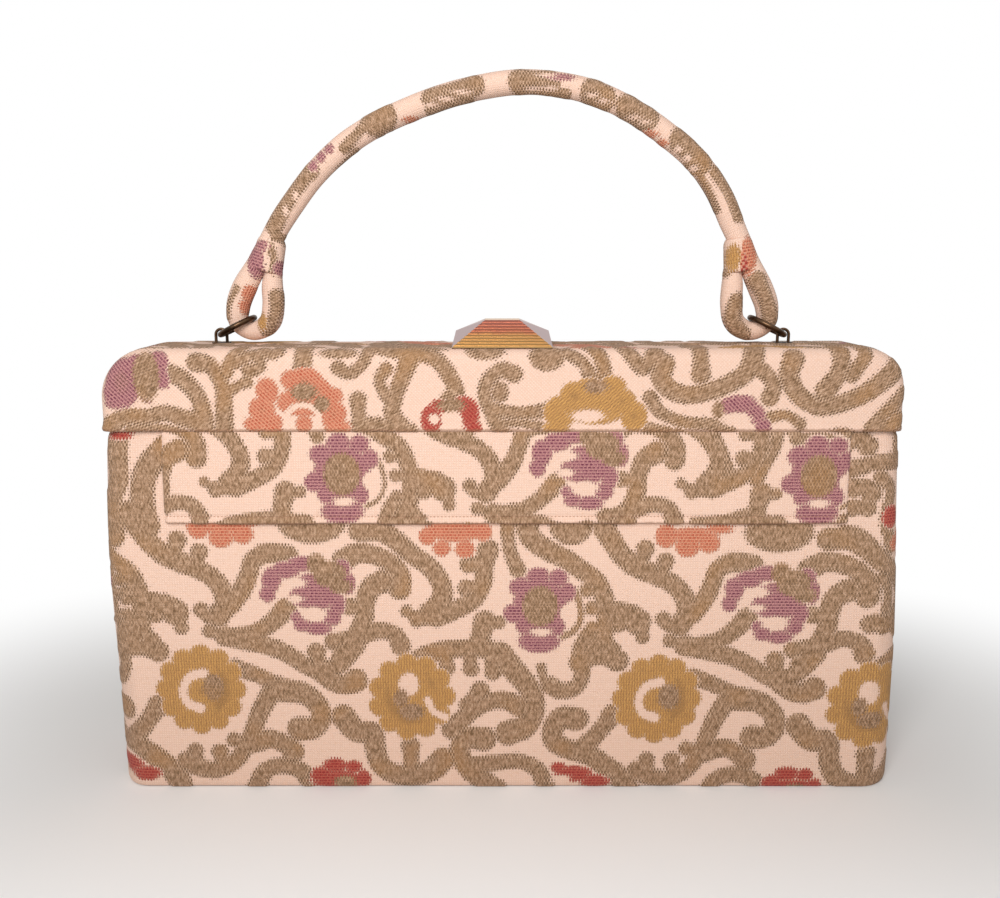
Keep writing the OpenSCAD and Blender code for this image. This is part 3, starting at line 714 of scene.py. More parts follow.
class Graph:
    """Short words for building a material's nodes."""

    def __init__(self, name):
        self.material = bpy.data.materials.new(name)
        self.material.use_nodes = True
        self.tree = self.material.node_tree
        self.shader = self.tree.nodes["Principled BSDF"]

    def put(self, socket, value):
        if isinstance(value, bpy.types.NodeSocket):
            self.tree.links.new(value, socket)
        else:
            socket.default_value = value

    def node(self, kind, values=None, **settings):
        """The outputs of a new node with these input values and settings."""
        node = self.tree.nodes.new("ShaderNode" + kind)
        for key, value in settings.items():
            setattr(node, key, value)
        for key, value in (values or {}).items():
            self.put(node.inputs[key], value)
        return node.outputs

    def math(self, kind, a, b=0.0):
        return self.node("Math", {0: a, 1: b}, operation=kind)[0]

    def times(self, a, b):
        return self.math("MULTIPLY", a, b)

    def plus(self, a, b):
        return self.math("ADD", a, b)

    def less(self, a, b):
        return self.math("SUBTRACT", a, b)

    def ramp(self, value, low, high):
        """0 below low, 1 above high, smooth between."""
        ends = {"Value": value, "From Min": low, "From Max": high}
        return self.node("MapRange", ends, interpolation_type="SMOOTHSTEP")[0]

    def fall(self, value, low, high):
        """1 below low, 0 above high, smooth between."""
        return self.less(1.0, self.ramp(value, low, high))

    def mix(self, share, a, b, kind="MIX"):
        return self.node("Mix", {"Factor": share, 6: a, 7: b}, data_type="RGBA", blend_type=kind)[2]

    def attribute(self, name, output="Fac"):
        return self.node("Attribute", attribute_name=name)[output]

    def split(self, vector):
        return self.node("SeparateXYZ", {0: vector})

    def join(self, x, y):
        return self.node("CombineXYZ", {0: x, 1: y})[0]

    def noise(self, vector, scale, detail=2.0, rough=0.5):
        grain = {"Vector": vector, "Scale": scale, "Detail": detail, "Roughness": rough}
        return self.node("TexNoise", grain)["Fac"]

    def colours(self, value, stops):
        node = self.tree.nodes.new("ShaderNodeValToRGB")
        self.put(node.inputs[0], value)
        band = node.color_ramp
        while len(band.elements) < len(stops):
            band.elements.new(0.5)
        for element, (place, colour) in zip(band.elements, stops):
            element.position = place
            element.color = colour
        return node.outputs[0]

    def base(self, colour):
        self.put(self.shader.inputs["Base Color"], colour)

    def bump(self, height, distance, strength):
        rough = {"Height": height, "Distance": distance, "Strength": strength}
        self.put(self.shader.inputs["Normal"], self.node("Bump", rough)[0])

    def object_place(self):
        return self.node("TexCoord")["Object"]


STRIPE_SOFT = 0.10


def stripe(g, value, period, share):
    """1 on the middle share of each period, with soft edges."""
    local = g.math("FRACT", g.math("DIVIDE", value, period))
    off = g.math("ABSOLUTE", g.less(local, 0.5))
    return g.fall(off, share / 2 - STRIPE_SOFT, share / 2 + STRIPE_SOFT)


# Pitches of the stitches, the ground's threads, the flowers' wefts and the hem's stitching, in millimetres
STITCH, GROUND_PITCH, SEAM_PITCH = 1.2, 0.92, 1.4
WEFT_ROW, WEFT_BREAK, WEFT_COLUMN = 1.16, 1.6, 1.05
GROUND = srgb(243, 212, 195)
GROUND_LINE = srgb(226, 188, 165)
GROUND_SPECK = srgb(233, 194, 170)
TAUPE_DARK = srgb(124, 95, 68)
TAUPE = srgb(158, 125, 96)
TAUPE_LIGHT = srgb(186, 150, 122)
TAUPE_PALE = srgb(212, 177, 149)
TAUPE_WARM = srgb(180, 134, 88)
DOT = srgb(104, 78, 55)
FLECK_PALE = srgb(224, 190, 163)
FOLD_PAINTED_SHADE = srgb(146, 106, 80)
THREAD = srgb(160, 112, 86)
# Painted shade: the multiply colour that darkens the cloth towards the base
BASE_PAINTED_SHADE = (0.82, 0.80, 0.78, 1.0)


# Dark and pale wefts of each flower
FLOWERS = {
    "plum": (srgb(118, 60, 78), srgb(196, 140, 138)), "coral": (srgb(190, 94, 68), srgb(220, 152, 122)),
    "gold": (srgb(208, 158, 94), srgb(176, 130, 82)), "red": (srgb(158, 50, 48), srgb(190, 96, 80)),
}


def wedge(g, value, period):
    """A wave of even teeth from -0.5 to 0.5."""
    local = g.math("FRACT", g.math("DIVIDE", value, period))
    return g.less(g.math("ABSOLUTE", g.less(g.times(local, 2.0), 1.0)), 0.5)


def tapestry(name):
    """Woven cloth: fine cream ground, taupe scrolls with combed edges, and flowers in coloured wefts."""
    g = Graph(name)
    threads = g.split(g.attribute("threads", "Vector"))
    u, v = threads[0], threads[1]
    place = g.join(u, v)
    # Fine plain weave of the ground
    plain = g.times(stripe(g, u, GROUND_PITCH, 0.55), stripe(g, v, GROUND_PITCH, 0.55))
    ground = g.mix(g.times(g.less(1.0, plain), 0.6), GROUND, GROUND_LINE)
    ground = g.mix(g.ramp(g.noise(place, 0.9, 3.0, 0.6), 0.45, 0.75), ground, GROUND_SPECK)
    # Wavy flecks of the taupe wefts
    wave = g.times(g.noise(g.join(g.times(u, 0.5), g.times(v, 0.35)), 1.0), 2.2)
    fleck = g.noise(g.join(g.times(g.plus(u, wave), 1.15), g.times(v, 0.42)), 1.0, 2.0, 0.6)
    taupe = g.colours(fleck, [(0.30, TAUPE_DARK), (0.44, TAUPE), (0.58, TAUPE_LIGHT), (0.74, TAUPE_PALE)])
    taupe = g.mix(g.times(g.ramp(g.noise(place, 0.045, 1.0), 0.5, 0.72), 0.5), taupe, TAUPE_WARM)
    # Brick rows of stitches and the teeth that they make along an edge
    row = g.math("FLOOR", g.math("DIVIDE", v, STITCH))
    shifted = g.plus(u, g.times(g.math("MODULO", row, 2.0), STITCH / 2))
    stitch = g.times(stripe(g, shifted, STITCH, 0.46), stripe(g, v, STITCH, 0.74))
    between = g.times(stripe(g, g.plus(shifted, STITCH / 2), STITCH, 0.45), stripe(g, v, STITCH, 0.7))
    jitter = g.times(g.less(g.noise(place, 0.75, 2.0), 0.5), 1.3)
    teeth = g.plus(g.times(wedge(g, u, STITCH), 0.95), g.times(wedge(g, v, STITCH), 0.5))
    teeth = g.plus(teeth, jitter)
    edge = g.plus(g.attribute("taupe"), teeth)
    core = g.fall(edge, -0.15, 0.15)
    band = g.times(g.ramp(edge, -2.3, -0.9), g.fall(edge, 0.25, 0.65))
    uneven = g.plus(0.45, g.times(g.ramp(g.noise(place, 0.22, 2.0), 0.36, 0.62), 0.55))
    band = g.times(band, uneven)
    colour = g.mix(core, ground, taupe)
    colour = g.mix(g.times(g.times(band, between), 0.7), colour, FLECK_PALE)
    colour = g.mix(g.times(g.times(band, stitch), 0.85), colour, DOT)
    # Flowers: rows of coloured weft over a paler ground, with a brown ring inside wide ones
    breaks = g.less(1.0, g.times(stripe(g, shifted, WEFT_BREAK, 0.25), 0.8))
    lines = g.times(stripe(g, v, WEFT_ROW, 0.6), breaks)
    columns = stripe(g, g.plus(u, g.times(wave, 0.5)), WEFT_COLUMN, 0.6)
    weight = core
    for flower, (dark, pale) in FLOWERS.items():
        reach = g.plus(g.attribute(flower), teeth)
        inside = g.fall(reach, -0.15, 0.15)
        vary = g.mix(g.ramp(fleck, 0.38, 0.66), dark, g.mix(0.45, dark, pale))
        deep = g.times(g.fall(reach, -5.5, -3.0), g.ramp(reach, -12.0, -9.0))
        vary = g.mix(g.times(deep, 0.5), vary, TAUPE_DARK)
        fringe = g.times(g.ramp(reach, -1.6, -0.2), between)
        woven = g.mix(columns if flower == "gold" else lines, pale, vary)
        colour = g.mix(inside, colour, g.mix(g.times(fringe, 0.6), woven, FLECK_PALE))
        weight = g.math("MAXIMUM", weight, inside)
    # Taupe hearts of the flowers, painted shade in brown along folded edges and a row of stitches
    heart = g.fall(g.plus(g.attribute("heart"), g.times(teeth, 1.3)), -0.7, 0.5)
    colour = g.mix(heart, colour, g.mix(g.times(stitch, 0.5), taupe, TAUPE_DARK))
    painted_fold_shade = g.fall(g.plus(g.attribute("fold"), jitter), -0.4, 0.3)
    colour = g.mix(g.times(painted_fold_shade, 0.6), colour, FOLD_PAINTED_SHADE)
    seam = g.fall(g.attribute("seam"), -0.1, 0.1)
    colour = g.mix(g.times(seam, stripe(g, u, SEAM_PITCH, 0.5)), colour, THREAD)
    # Painted shade: the cloth is darkened towards the base
    painted_base_shade = g.fall(g.split(g.object_place())[2], -0.02, 0.12)
    g.base(g.mix(g.times(painted_base_shade, 0.9), colour, BASE_PAINTED_SHADE, "MULTIPLY"))
    g.shader.inputs["Roughness"].default_value = 0.9
    g.shader.inputs["Specular IOR Level"].default_value = 0.15
    g.shader.inputs["Sheen Weight"].default_value = 0.08
    g.bump(g.plus(g.times(plain, 0.4), g.times(weight, g.plus(stitch, fleck))), 0.0003, 0.8)
    return g.material


def metal(name, colour, dark, roughness, scale, wear):
    """Plated metal with fine scratches and duller patches of wear."""
    g = Graph(name)
    place = g.object_place()
    patch = g.noise(place, scale, 4.0, 0.6)
    fine = g.noise(place, scale * 14, 3.0, 0.7)
    g.base(g.mix(g.times(g.ramp(patch, 0.42, 0.66), wear), colour, dark))
    g.shader.inputs["Metallic"].default_value = 1.0
    g.put(g.shader.inputs["Roughness"], g.plus(roughness, g.times(g.less(fine, 0.5), 0.22)))
    g.bump(fine, 0.00003, 0.5)
    return g.material


# The gilt's colours from the foot of the clasp to its top, a painted highlight on faces turned up and a
# painted reflection on the side facets
GILT_STOPS = [
    (0.0, srgb(176, 139, 90)), (0.45, srgb(170, 131, 88)), (0.62, srgb(164, 104, 84)),
    (0.9, srgb(162, 102, 89)),
]
GILT_PAINTED_HIGHLIGHT, GILT_SIDE_PAINTED_REFLECTION = srgb(246, 214, 158), srgb(166, 138, 136)


def gilt_plate(name):
    """Gilt plate, warmer copper towards the top, with a painted highlight on faces turned up and a paler
    painted reflection on the side facets.
    """
    g = Graph(name)
    coords = g.node("TexCoord")
    facing = g.split(g.node("NewGeometry")["True Normal"])
    patch = g.noise(coords["Object"], 120, 3.0, 0.6)
    height = g.plus(g.split(coords["Generated"])[2], g.times(g.less(patch, 0.5), 0.35))
    tone = g.colours(height, GILT_STOPS)
    # Painted highlight: faces turned up are paler
    tone = g.mix(g.times(g.ramp(facing[2], 0.75, 0.95), 0.5), tone, GILT_PAINTED_HIGHLIGHT)
    # Painted reflection: the side facets are tinted mauve-grey
    g.base(g.mix(g.ramp(g.math("ABSOLUTE", facing[0]), 0.2, 0.45), tone, GILT_SIDE_PAINTED_REFLECTION))
    g.shader.inputs["Metallic"].default_value = 1.0
    g.shader.inputs["Roughness"].default_value = 0.32
    return g.material


def plain_cloth(name, light, dark, period):
    """Plain satin lining with a fine twill."""
    g = Graph(name)
    place = g.object_place()
    x, y, z = g.split(place)
    g.base(g.mix(g.times(g.ramp(g.noise(place, 40, 3.0), 0.35, 0.7), 0.5), light, dark))
    g.shader.inputs["Roughness"].default_value = 0.6
    g.shader.inputs["Sheen Weight"].default_value = 0.2
    g.bump(stripe(g, g.plus(g.plus(x, y), z), period, 0.6), 0.0001, 0.6)
    return g.material


BOARD_STOPS = [(0.3, srgb(128, 104, 78)), (0.55, srgb(160, 134, 102)), (0.75, srgb(184, 160, 126))]


def fibre_board(name):
    """Grey-brown pressed board with short fibres."""
    g = Graph(name)
    fibre = g.noise(g.object_place(), 260, 5.0, 0.65)
    g.base(g.colours(fibre, BOARD_STOPS))
    g.shader.inputs["Roughness"].default_value = 0.9
    g.bump(fibre, 0.0001, 0.5)
    return g.material


CLOTH = tapestry("tapestry_cloth")
GILT = gilt_plate("gilt_plate")
BRONZE = metal("antique_bronze", srgb(92, 70, 52), srgb(38, 30, 24), 0.34, 160, 0.9)
STEEL = metal("frame_steel", srgb(176, 172, 165), srgb(120, 112, 100), 0.32, 60, 0.5)
LINING = plain_cloth("lining_satin", srgb(214, 190, 152), srgb(190, 162, 122), 0.0009)
BOARD = fibre_board("fibre_board")


def dress(piece, material, body=None, stands_for=()):
    piece.data.materials.clear()
    piece.data.materials.append(material)
    if body:
        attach(piece, body)
    if stands_for:
        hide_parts(*stands_for)
    return piece


def follow(piece):
    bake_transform(piece)


def sew(name, points, figure, threads, body, node, faces=None):
    """A woven piece that stands for a node, by default one grid of points."""
    faces = grid_faces(*points.shape[:2]) if faces is None else faces
    piece = make_mesh(name, points.reshape(-1, 3), faces)
    set_cloth(piece, figure, threads)
    return dress(piece, CLOTH, body, [node])


def thicken(piece, thickness):
    solid = piece.modifiers.new("fold", "SOLIDIFY")
    solid.thickness = thickness * MM
    solid.offset = -1.0


# Body shells, and the steps of the pieces' grids
FRONT_STEP, REAR_STEP, FINE_STEP, COVER_STEP = 0.72, 1.15, 0.7, 1.0


def body_shell(name, face, step, figure_of, node):
    points, uv = shell_rows(face, step)
    figure = figure_of(uv)
    points = lift(points, relief(figure))
    piece = sew(name, points, figure, uv, None, node)
    follow(piece)


# An end panel's lap under the seams, the dip along them, its puff, and its pleat
SEAM_LAP, SEAM_DIP, SEAM_SOFT, END_PUFF = 0.3, 0.5, 0.8, 0.5
PLEAT_HALF, PLEAT_Z, PLEAT_SUNK = 11.0, 98.0, 1.0
GUSSET_POINTS, PLEAT_POINTS = 20, 24


def gusset_reach(z):
    """Half the width of an end panel at a height."""
    return half_depth(z) - corner_radius(z) - SEAM_TURN + SEAM_LAP


def gusset_point(side, y, z, sunk):
    """Points of an end panel at a height, sunk a little along its seams."""
    half = gusset_reach(z)
    seam = SEAM_DIP * np.exp(-((half - np.abs(y)) / SEAM_SOFT) ** 2)
    swell = side_swell(z, side) + END_PUFF * np.cos(np.clip(y / half, -1, 1) * math.pi / 2)
    return level(side * (half_width(z) + PROUD - seam + swell - sunk), y, z + OFF_TABLE)


def gusset_uv(side, y, z):
    return np.column_stack([y * side, np.full(len(y), z)])


def gusset_half(name, side, face, node):
    """One half of an end panel, from its seam to the fold down its middle."""
    points, cloth = [], []
    for pull, z in body_heights(REAR_STEP):
        y = np.sort(np.linspace(0, 1, GUSSET_POINTS) * gusset_reach(z) * face)[::side]
        points.append(gusset_point(side, y, z, pull * BASE_PULL))
        cloth.append(gusset_uv(side, y, z))
    uv = np.array(cloth).reshape(-1, 2)
    figure = cloth_figure(uv + GUSSET_CUT * (side, 1), ROWS)
    points = lift(np.array(points), relief(figure))
    piece = sew(name, points, figure, uv, None, node)
    follow(piece)


def gusset_pleat(name, side, node):
    """The inner fold of an end panel, which shows when the frame opens."""
    y = np.linspace(-PLEAT_HALF, PLEAT_HALF, PLEAT_POINTS)[::side]
    heights = np.arange(PLEAT_Z, RIM_Z, REAR_STEP)
    points = np.array([gusset_point(side, y, z, PLEAT_SUNK) for z in heights])
    uv = np.array([gusset_uv(side, y, z) for z in heights]).reshape(-1, 2)
    figure = cloth_figure(uv + PLEAT_CUT * (side, 1), ROWS)
    piece = sew(name, points, figure, uv, "body", node)


BASE_ROWS, BASE_COLS, BASE_UP = 60, 280, 0.25


def base_cloth():
    """The base, flat on the table, with its edges under the shells."""
    t, s = np.meshgrid(np.linspace(-1, 1, BASE_ROWS), np.linspace(-1, 1, BASE_COLS), indexing="ij")
    pull, r = BASE_EDGE * BASE_PULL, CORNER_R_FOOT
    a, b = HALF_W_FOOT - pull, HALF_D_FOOT - pull + BELLY
    inset = np.clip(np.abs(t) * b - (b - r), 0, r)
    reach = a - (r - np.sqrt(np.maximum(r * r - inset * inset, 0)))
    shift = np.where(s < 0, -side_swell(0.0, -1), side_swell(0.0, 1))
    points = np.stack([s * reach + shift * np.abs(s), t * b, np.full_like(s, BASE_UP)], axis=-1)
    uv = points[..., :2].reshape(-1, 2)
    figure = cloth_figure(uv + BASE_CUT, ROWS)
    faces = grid_faces(BASE_ROWS, BASE_COLS)[:, ::-1]
    piece = sew("base_cloth", points, figure, uv, "body", "base_panel", faces)


def panel_y(x, z):
    """The front shell's face at a place, without the figure's relief."""
    return -(half_depth(z) + PROUD + slack(x, z) + belly(z))


# The pocket's thickness, its rolled hem, how far that turns up behind, and its row of stitches
POCKET_THICK, HEM_ROLL, HEM_TURN, SEAM_UP = 1.5, 0.75, 2.2, 2.6
# How far the hem swells, how far the ends are pressed down over what width, and the share lost at the skirt
HEM_RISE, END_PRESS, END_WIDE, SKIRT_PRESS = 0.6, 0.85, 1.1, 0.6
# How far the pocket's turned edge and its lowest places stand out, the reach of the painted shade at its fold
# and half the row of stitches
POCKET_BACK, POCKET_LEAST, POCKET_FOLD_SHADE, SEAM_HALF = 0.1, 0.05, 0.8, 0.3


def pocket():
    """The slip pocket: a folded band under the frame with a rolled, stitched lower hem."""
    low, high = box_mm("pocket_band")
    x0, x1, z0 = low[0], high[0], low[2]
    xs = np.linspace(x0, x1, int((x1 - x0) / FINE_STEP))
    press = 1 - END_PRESS * np.clip(1 - np.minimum(xs - x0, x1 - xs) / END_WIDE, 0, 1) ** 2
    half = POCKET_THICK / 2
    rows = [(POCKET_BACK, z0 + HEM_TURN)]
    rows += [(half + half * math.sin(t), z0 + HEM_ROLL - HEM_ROLL * math.cos(t))
             for t in np.linspace(-math.pi / 2, math.pi / 2, 9)]
    z1 = SKIRT_Z + UNDER_SKIRT
    rows += [(POCKET_THICK, z) for z in np.arange(z0 + HEM_ROLL + FINE_STEP, z1, FINE_STEP)]
    points = []
    for out, z in rows:
        out *= 1 - SKIRT_PRESS * min(max((z - SKIRT_Z + 0.5) / 2.0, 0.0), 1.0)
        hem = HEM_RISE * (np.exp(-((z - z0 - 1.0) / 1.0) ** 2) - np.exp(-((z - z0 - SEAM_UP) / 0.55) ** 2))
        stand = np.maximum(out * press + hem * (out > POCKET_THICK * 0.9), POCKET_LEAST)
        points.append(level(xs, panel_y(xs, z) - stand, z))
    points = np.array(points)
    uv = points[..., [0, 2]].reshape(-1, 2)
    anchor = np.array(panel_point(POCKET_POINT))
    figure = cloth_figure(anchor + turn_uv(uv - anchor, POCKET_TURN) / POCKET_STRETCH + POCKET_SHIFT)
    own = np.maximum(scroll_distance(uv, POCKET_SCROLLS, panel_point), -figure["plum"])
    figure["taupe"] = np.minimum(figure["taupe"], own) + POCKET_SLIM
    # Painted shade: brown along the hem's lower fold
    figure["fold"] = uv[:, 1] - z0 - POCKET_FOLD_SHADE
    figure["seam"] = np.abs(uv[:, 1] - z0 - SEAM_UP) - SEAM_HALF
    points = lift(points, relief(figure))
    piece = sew("pocket_cloth", points, figure, uv, None, "pocket_band")
    follow(piece)


# Frame covers, pressed in a little where the lifted clasp turns
CLASP_ROOM, CLASP_DENT, CLASP_SOFT, CLASP_REACH = 25.0, 0.6, 3.0, 8.0
# Lengths that set the number of points up the ends, round the corners and along the top
COVER_SIDE, COVER_ARC, COVER_ALONG = 16, 23, 278
COVER_HEM, COVER_HEM_UP, COVER_FOLD_SHADE, COVER_THICK = 0.4, 0.9, 1.1, 1.3


def cover_outline(count_side, count_arc, count_top):
    """The frame's outline seen from the front, from the left foot over the top to the right foot."""
    w, top = FRAME_HALF_W, FRAME_TOP
    arc = np.linspace(0, math.pi / 2, count_arc)[1:]
    normals = [(-1, 0)] * count_side + [(-math.cos(t), math.sin(t)) for t in arc]

    def end(r):
        side = [(-w, z) for z in np.linspace(SKIRT_Z, top - r, count_side)]
        return side + [(-(w - r) - r * math.cos(t), top - r + r * math.sin(t)) for t in arc]

    middle = [(x, top) for x in np.linspace(-(w - CORNER_R_LEFT), w - CORNER_R_RIGHT, count_top)[1:-1]]
    path = end(CORNER_R_LEFT) + middle + [(-x, z) for x, z in reversed(end(CORNER_R_RIGHT))]
    normals = normals + [(0, 1)] * len(middle) + [(-x, z) for x, z in reversed(normals)]
    return np.array(path), np.array(normals)


def cover(name, face, figure_of, node, body, step):
    """One half of the frame's cover: the top and ends, the soft edge and the face inside it."""
    foot_rows = int(COVER_SIDE / step) + 2
    path, normal = cover_outline(foot_rows, int(COVER_ARC / step) + 2, int(COVER_ALONG / step))
    if face > 0:
        path, normal = path[::-1] * (-1, 1), normal[::-1] * (-1, 1)
    count, r, tall = len(path), FRAME_EDGE_R, FRAME_TOP - SKIRT_Z
    deep = SKIRT_HALF_D - FRAME_LEAN * (path[:, 1] - SKIRT_Z) / tall - r
    rows, back, out = [], [], []
    for f in np.linspace(0, 1, max(4, int(SKIRT_HALF_D / (1.5 * step)))):
        y = SPLIT + (deep - SPLIT) * f
        rows.append(np.column_stack([path[:, 0], -y, path[:, 1]]))
        back.append(deep - y + r * math.pi / 2)
        out.append(np.column_stack([normal[:, 0], np.zeros(count), normal[:, 1]]))
    for t in np.linspace(0, math.pi / 2, 10)[1:]:
        edge = path - normal * (r * (1 - math.cos(t)))
        rows.append(np.column_stack([edge[:, 0], -(deep + r * math.sin(t)), edge[:, 1]]))
        back.append(np.full(count, r * (math.pi / 2 - t)))
        turned = normal * math.cos(t)
        out.append(np.column_stack([turned[:, 0], np.full(count, -math.sin(t)), turned[:, 1]]))
    strip = np.array(rows)
    inner = strip[-1]
    uv_strip = np.array([inner[:, [0, 2]] + normal * b[:, None] for b in back])
    # Columns of the face, from the lower edge up to the soft edge along the top
    over = np.arange(foot_rows - 1, count - foot_rows + 1)
    head = inner[over]
    face_rows = []
    for f in np.linspace(0, 1, int(tall / step))[:-1]:
        z = SKIRT_Z + (head[:, 2] - SKIRT_Z) * f
        y = -(SKIRT_HALF_D - FRAME_LEAN * (z - SKIRT_Z) / tall)
        face_rows.append(np.column_stack([head[:, 0], y, z]))
    face_grid = np.array(face_rows)
    first = len(strip) * count
    places = np.vstack([np.arange(first, first + face_grid.size // 3).reshape(-1, len(over)),
                        first - count + over])
    quads = np.stack([places[:-1, :-1], places[:-1, 1:], places[1:, 1:], places[1:, :-1]], axis=-1)
    faces = np.concatenate([grid_faces(*strip.shape[:2])[:, ::-1], quads.reshape(-1, 4)])
    verts = np.concatenate([strip.reshape(-1, 3), face_grid.reshape(-1, 3)])
    facing = np.tile([0.0, -1.0, 0.0], (face_grid.size // 3, 1))
    outward = np.concatenate([np.array(out).reshape(-1, 3), facing])
    uv = np.concatenate([uv_strip.reshape(-1, 2), face_grid[..., [0, 2]].reshape(-1, 2)])
    figure = figure_of(uv)
    hem = COVER_HEM * np.exp(-((verts[:, 2] - SKIRT_Z - COVER_HEM_UP) / COVER_HEM_UP) ** 2)
    # Painted shade: brown along the cover's lower fold
    figure["fold"] = verts[:, 2] - SKIRT_Z - COVER_FOLD_SHADE
    verts = verts + outward * (relief(figure) + hem)[:, None]
    if face > 0:
        room = np.clip((CLASP_ROOM - np.abs(verts[:, 0])) / CLASP_SOFT, 0, 1)
        room = room * np.exp(-(verts[:, 1] / CLASP_REACH) ** 4)
        verts[:, 2] -= CLASP_DENT * room * (verts[:, 2] > FRAME_TOP - 0.5)
        verts[:, :2] *= -1
    piece = sew(name, verts, figure, turn_uv(uv, BIAS), body, node, faces)
    thicken(piece, COVER_THICK)


# Handle and its collars
# The ends' routes are in handle thicknesses from the eye, with a radius, and the arch's in shares of its size
HANDLE_D, ARCH_R, HANDLE_RISE = 10.0, 0.455, 95.2
_eye_low, _eye_high = box_mm("left_handle_eye")
EYE_X = -(_eye_low[0] + _eye_high[0]) / 2
EYE_Z = frame["record"]["behaviour"]["joints"][3]["pos_m"][2] / MM
HANDLE_END = [
    (1.80, 4.42, 0.45), (1.56, 3.60, 0.43), (1.33, 2.78, 0.42), (1.02, 1.86, 0.47), (0.72, 1.10, 0.45),
    (0.76, 0.46, 0.395), (1.33, 0.145, 0.38), (1.95, 0.48, 0.42), (2.12, 1.16, 0.43), (2.12, 1.96, 0.41),
    (2.02, 2.62, 0.32), (1.98, 3.10, 0.24), (1.96, 3.40, 0.18),
]
HANDLE_ARCH = [
    (-0.715, 0.546), (-0.661, 0.626), (-0.595, 0.703), (-0.512, 0.780), (-0.394, 0.856), (-0.214, 0.938),
    (-0.078, 0.978), (0.058, 0.998), (0.193, 0.989), (0.329, 0.950), (0.469, 0.872), (0.583, 0.780),
    (0.661, 0.703), (0.718, 0.626), (0.762, 0.546),
]
LEAN_LEFT, LEAN_RIGHT, LEAN_FROM, LEAN_OVER = 0.8, 0.5, 2.0, 2.4
COLLAR_FOOT, COLLAR_HEAD = (1.68, 2.54), (1.65, 3.70)
# A collar's half width and half depth at foot and head, in handle thicknesses, and its ease in millimetres
COLLAR_WIDE, COLLAR_DEEP, COLLAR_EASE = (0.66, 0.49), (0.47, 0.49), (0.25, 0.3)
COLLAR_OVER, COLLAR_ROWS, COLLAR_AROUND, COLLAR_ROUND = 0.6, 30, 64, 0.8
COLLAR_RUN, COLLAR_THICK = 5.6, 0.8
# How far a collar's foot and head roll in, and over what length
FOOT_ROLL, FOOT_OVER, HEAD_ROLL, HEAD_OVER = 0.8, 1.4, 0.9, 2.6


def by_eye(p, side, lean):
    """A place of a handle end, leaned inwards as it rises."""
    x = p[0] + lean * max(0.0, p[1] - LEAN_FROM) / LEAN_OVER
    return side * (EYE_X - HANDLE_D * x), EYE_Z + HANDLE_D * p[1]


def end_route(side, lean):
    return [by_eye(p, side, lean) + (HANDLE_D * p[2],) for p in HANDLE_END]


def handle_route():
    arch = [(x * EYE_X, EYE_Z + z * HANDLE_RISE, HANDLE_D * ARCH_R) for x, z in HANDLE_ARCH]
    return end_route(-1, LEAN_LEFT)[::-1] + arch + end_route(1, LEAN_RIGHT)


def tube(route, around):
    """Rings of points round a route of (x, z, radius) in the handle's plane, with the run along it."""
    r = np.asarray(route)
    along = np.gradient(r[:, :2], axis=0)
    along /= np.linalg.norm(along, axis=1, keepdims=True)
    out = np.column_stack([along[:, 1], -along[:, 0]])
    run = np.concatenate([[0], np.cumsum(np.linalg.norm(np.diff(r[:, :2], axis=0), axis=1))])
    angle = np.linspace(0, 2 * math.pi, around, endpoint=False)
    reach = r[:, 2:3] * np.cos(angle)
    x, z = r[:, 0:1] + out[:, 0:1] * reach, r[:, 1:2] + out[:, 1:2] * reach
    return np.stack([x, r[:, 2:3] * np.sin(angle), z], axis=-1), run, angle


HANDLE_STEPS, HANDLE_AROUND = 14, 44
CREASE, PUFF, ROLL_RELIEF = 0.35, 0.10, 0.7


def handle():
    """The rolled handle: cloth wound over a soft core, with a crease along it and soft puffs."""
    points, run, angle = tube(smooth_line(handle_route(), HANDLE_STEPS), HANDLE_AROUND)
    s, t = np.meshgrid(run, angle * HANDLE_D / 2, indexing="ij")
    figure = handle_figure(points)
    crease = CREASE * np.exp(-((np.abs(angle - math.pi) * 5) / 0.6) ** 2)
    puff = PUFF * np.sin(s / 9.0) * np.sin(t / 3.1 + s / 14)
    arm = points - points.mean(axis=1, keepdims=True)
    size = np.linalg.norm(arm, axis=2, keepdims=True)
    change = relief(figure).reshape(s.shape) * ROLL_RELIEF + puff - crease[None, :]
    points = points + arm / np.maximum(size, 1e-6) * change[..., None]
    points[..., 1] += HANDLE_BACK
    uv = np.column_stack([s.ravel(), t.ravel()])
    faces = grid_faces(*points.shape[:2], close_cols=True)
    piece = sew("handle_roll", points, figure, uv, "handle", "handle", faces)


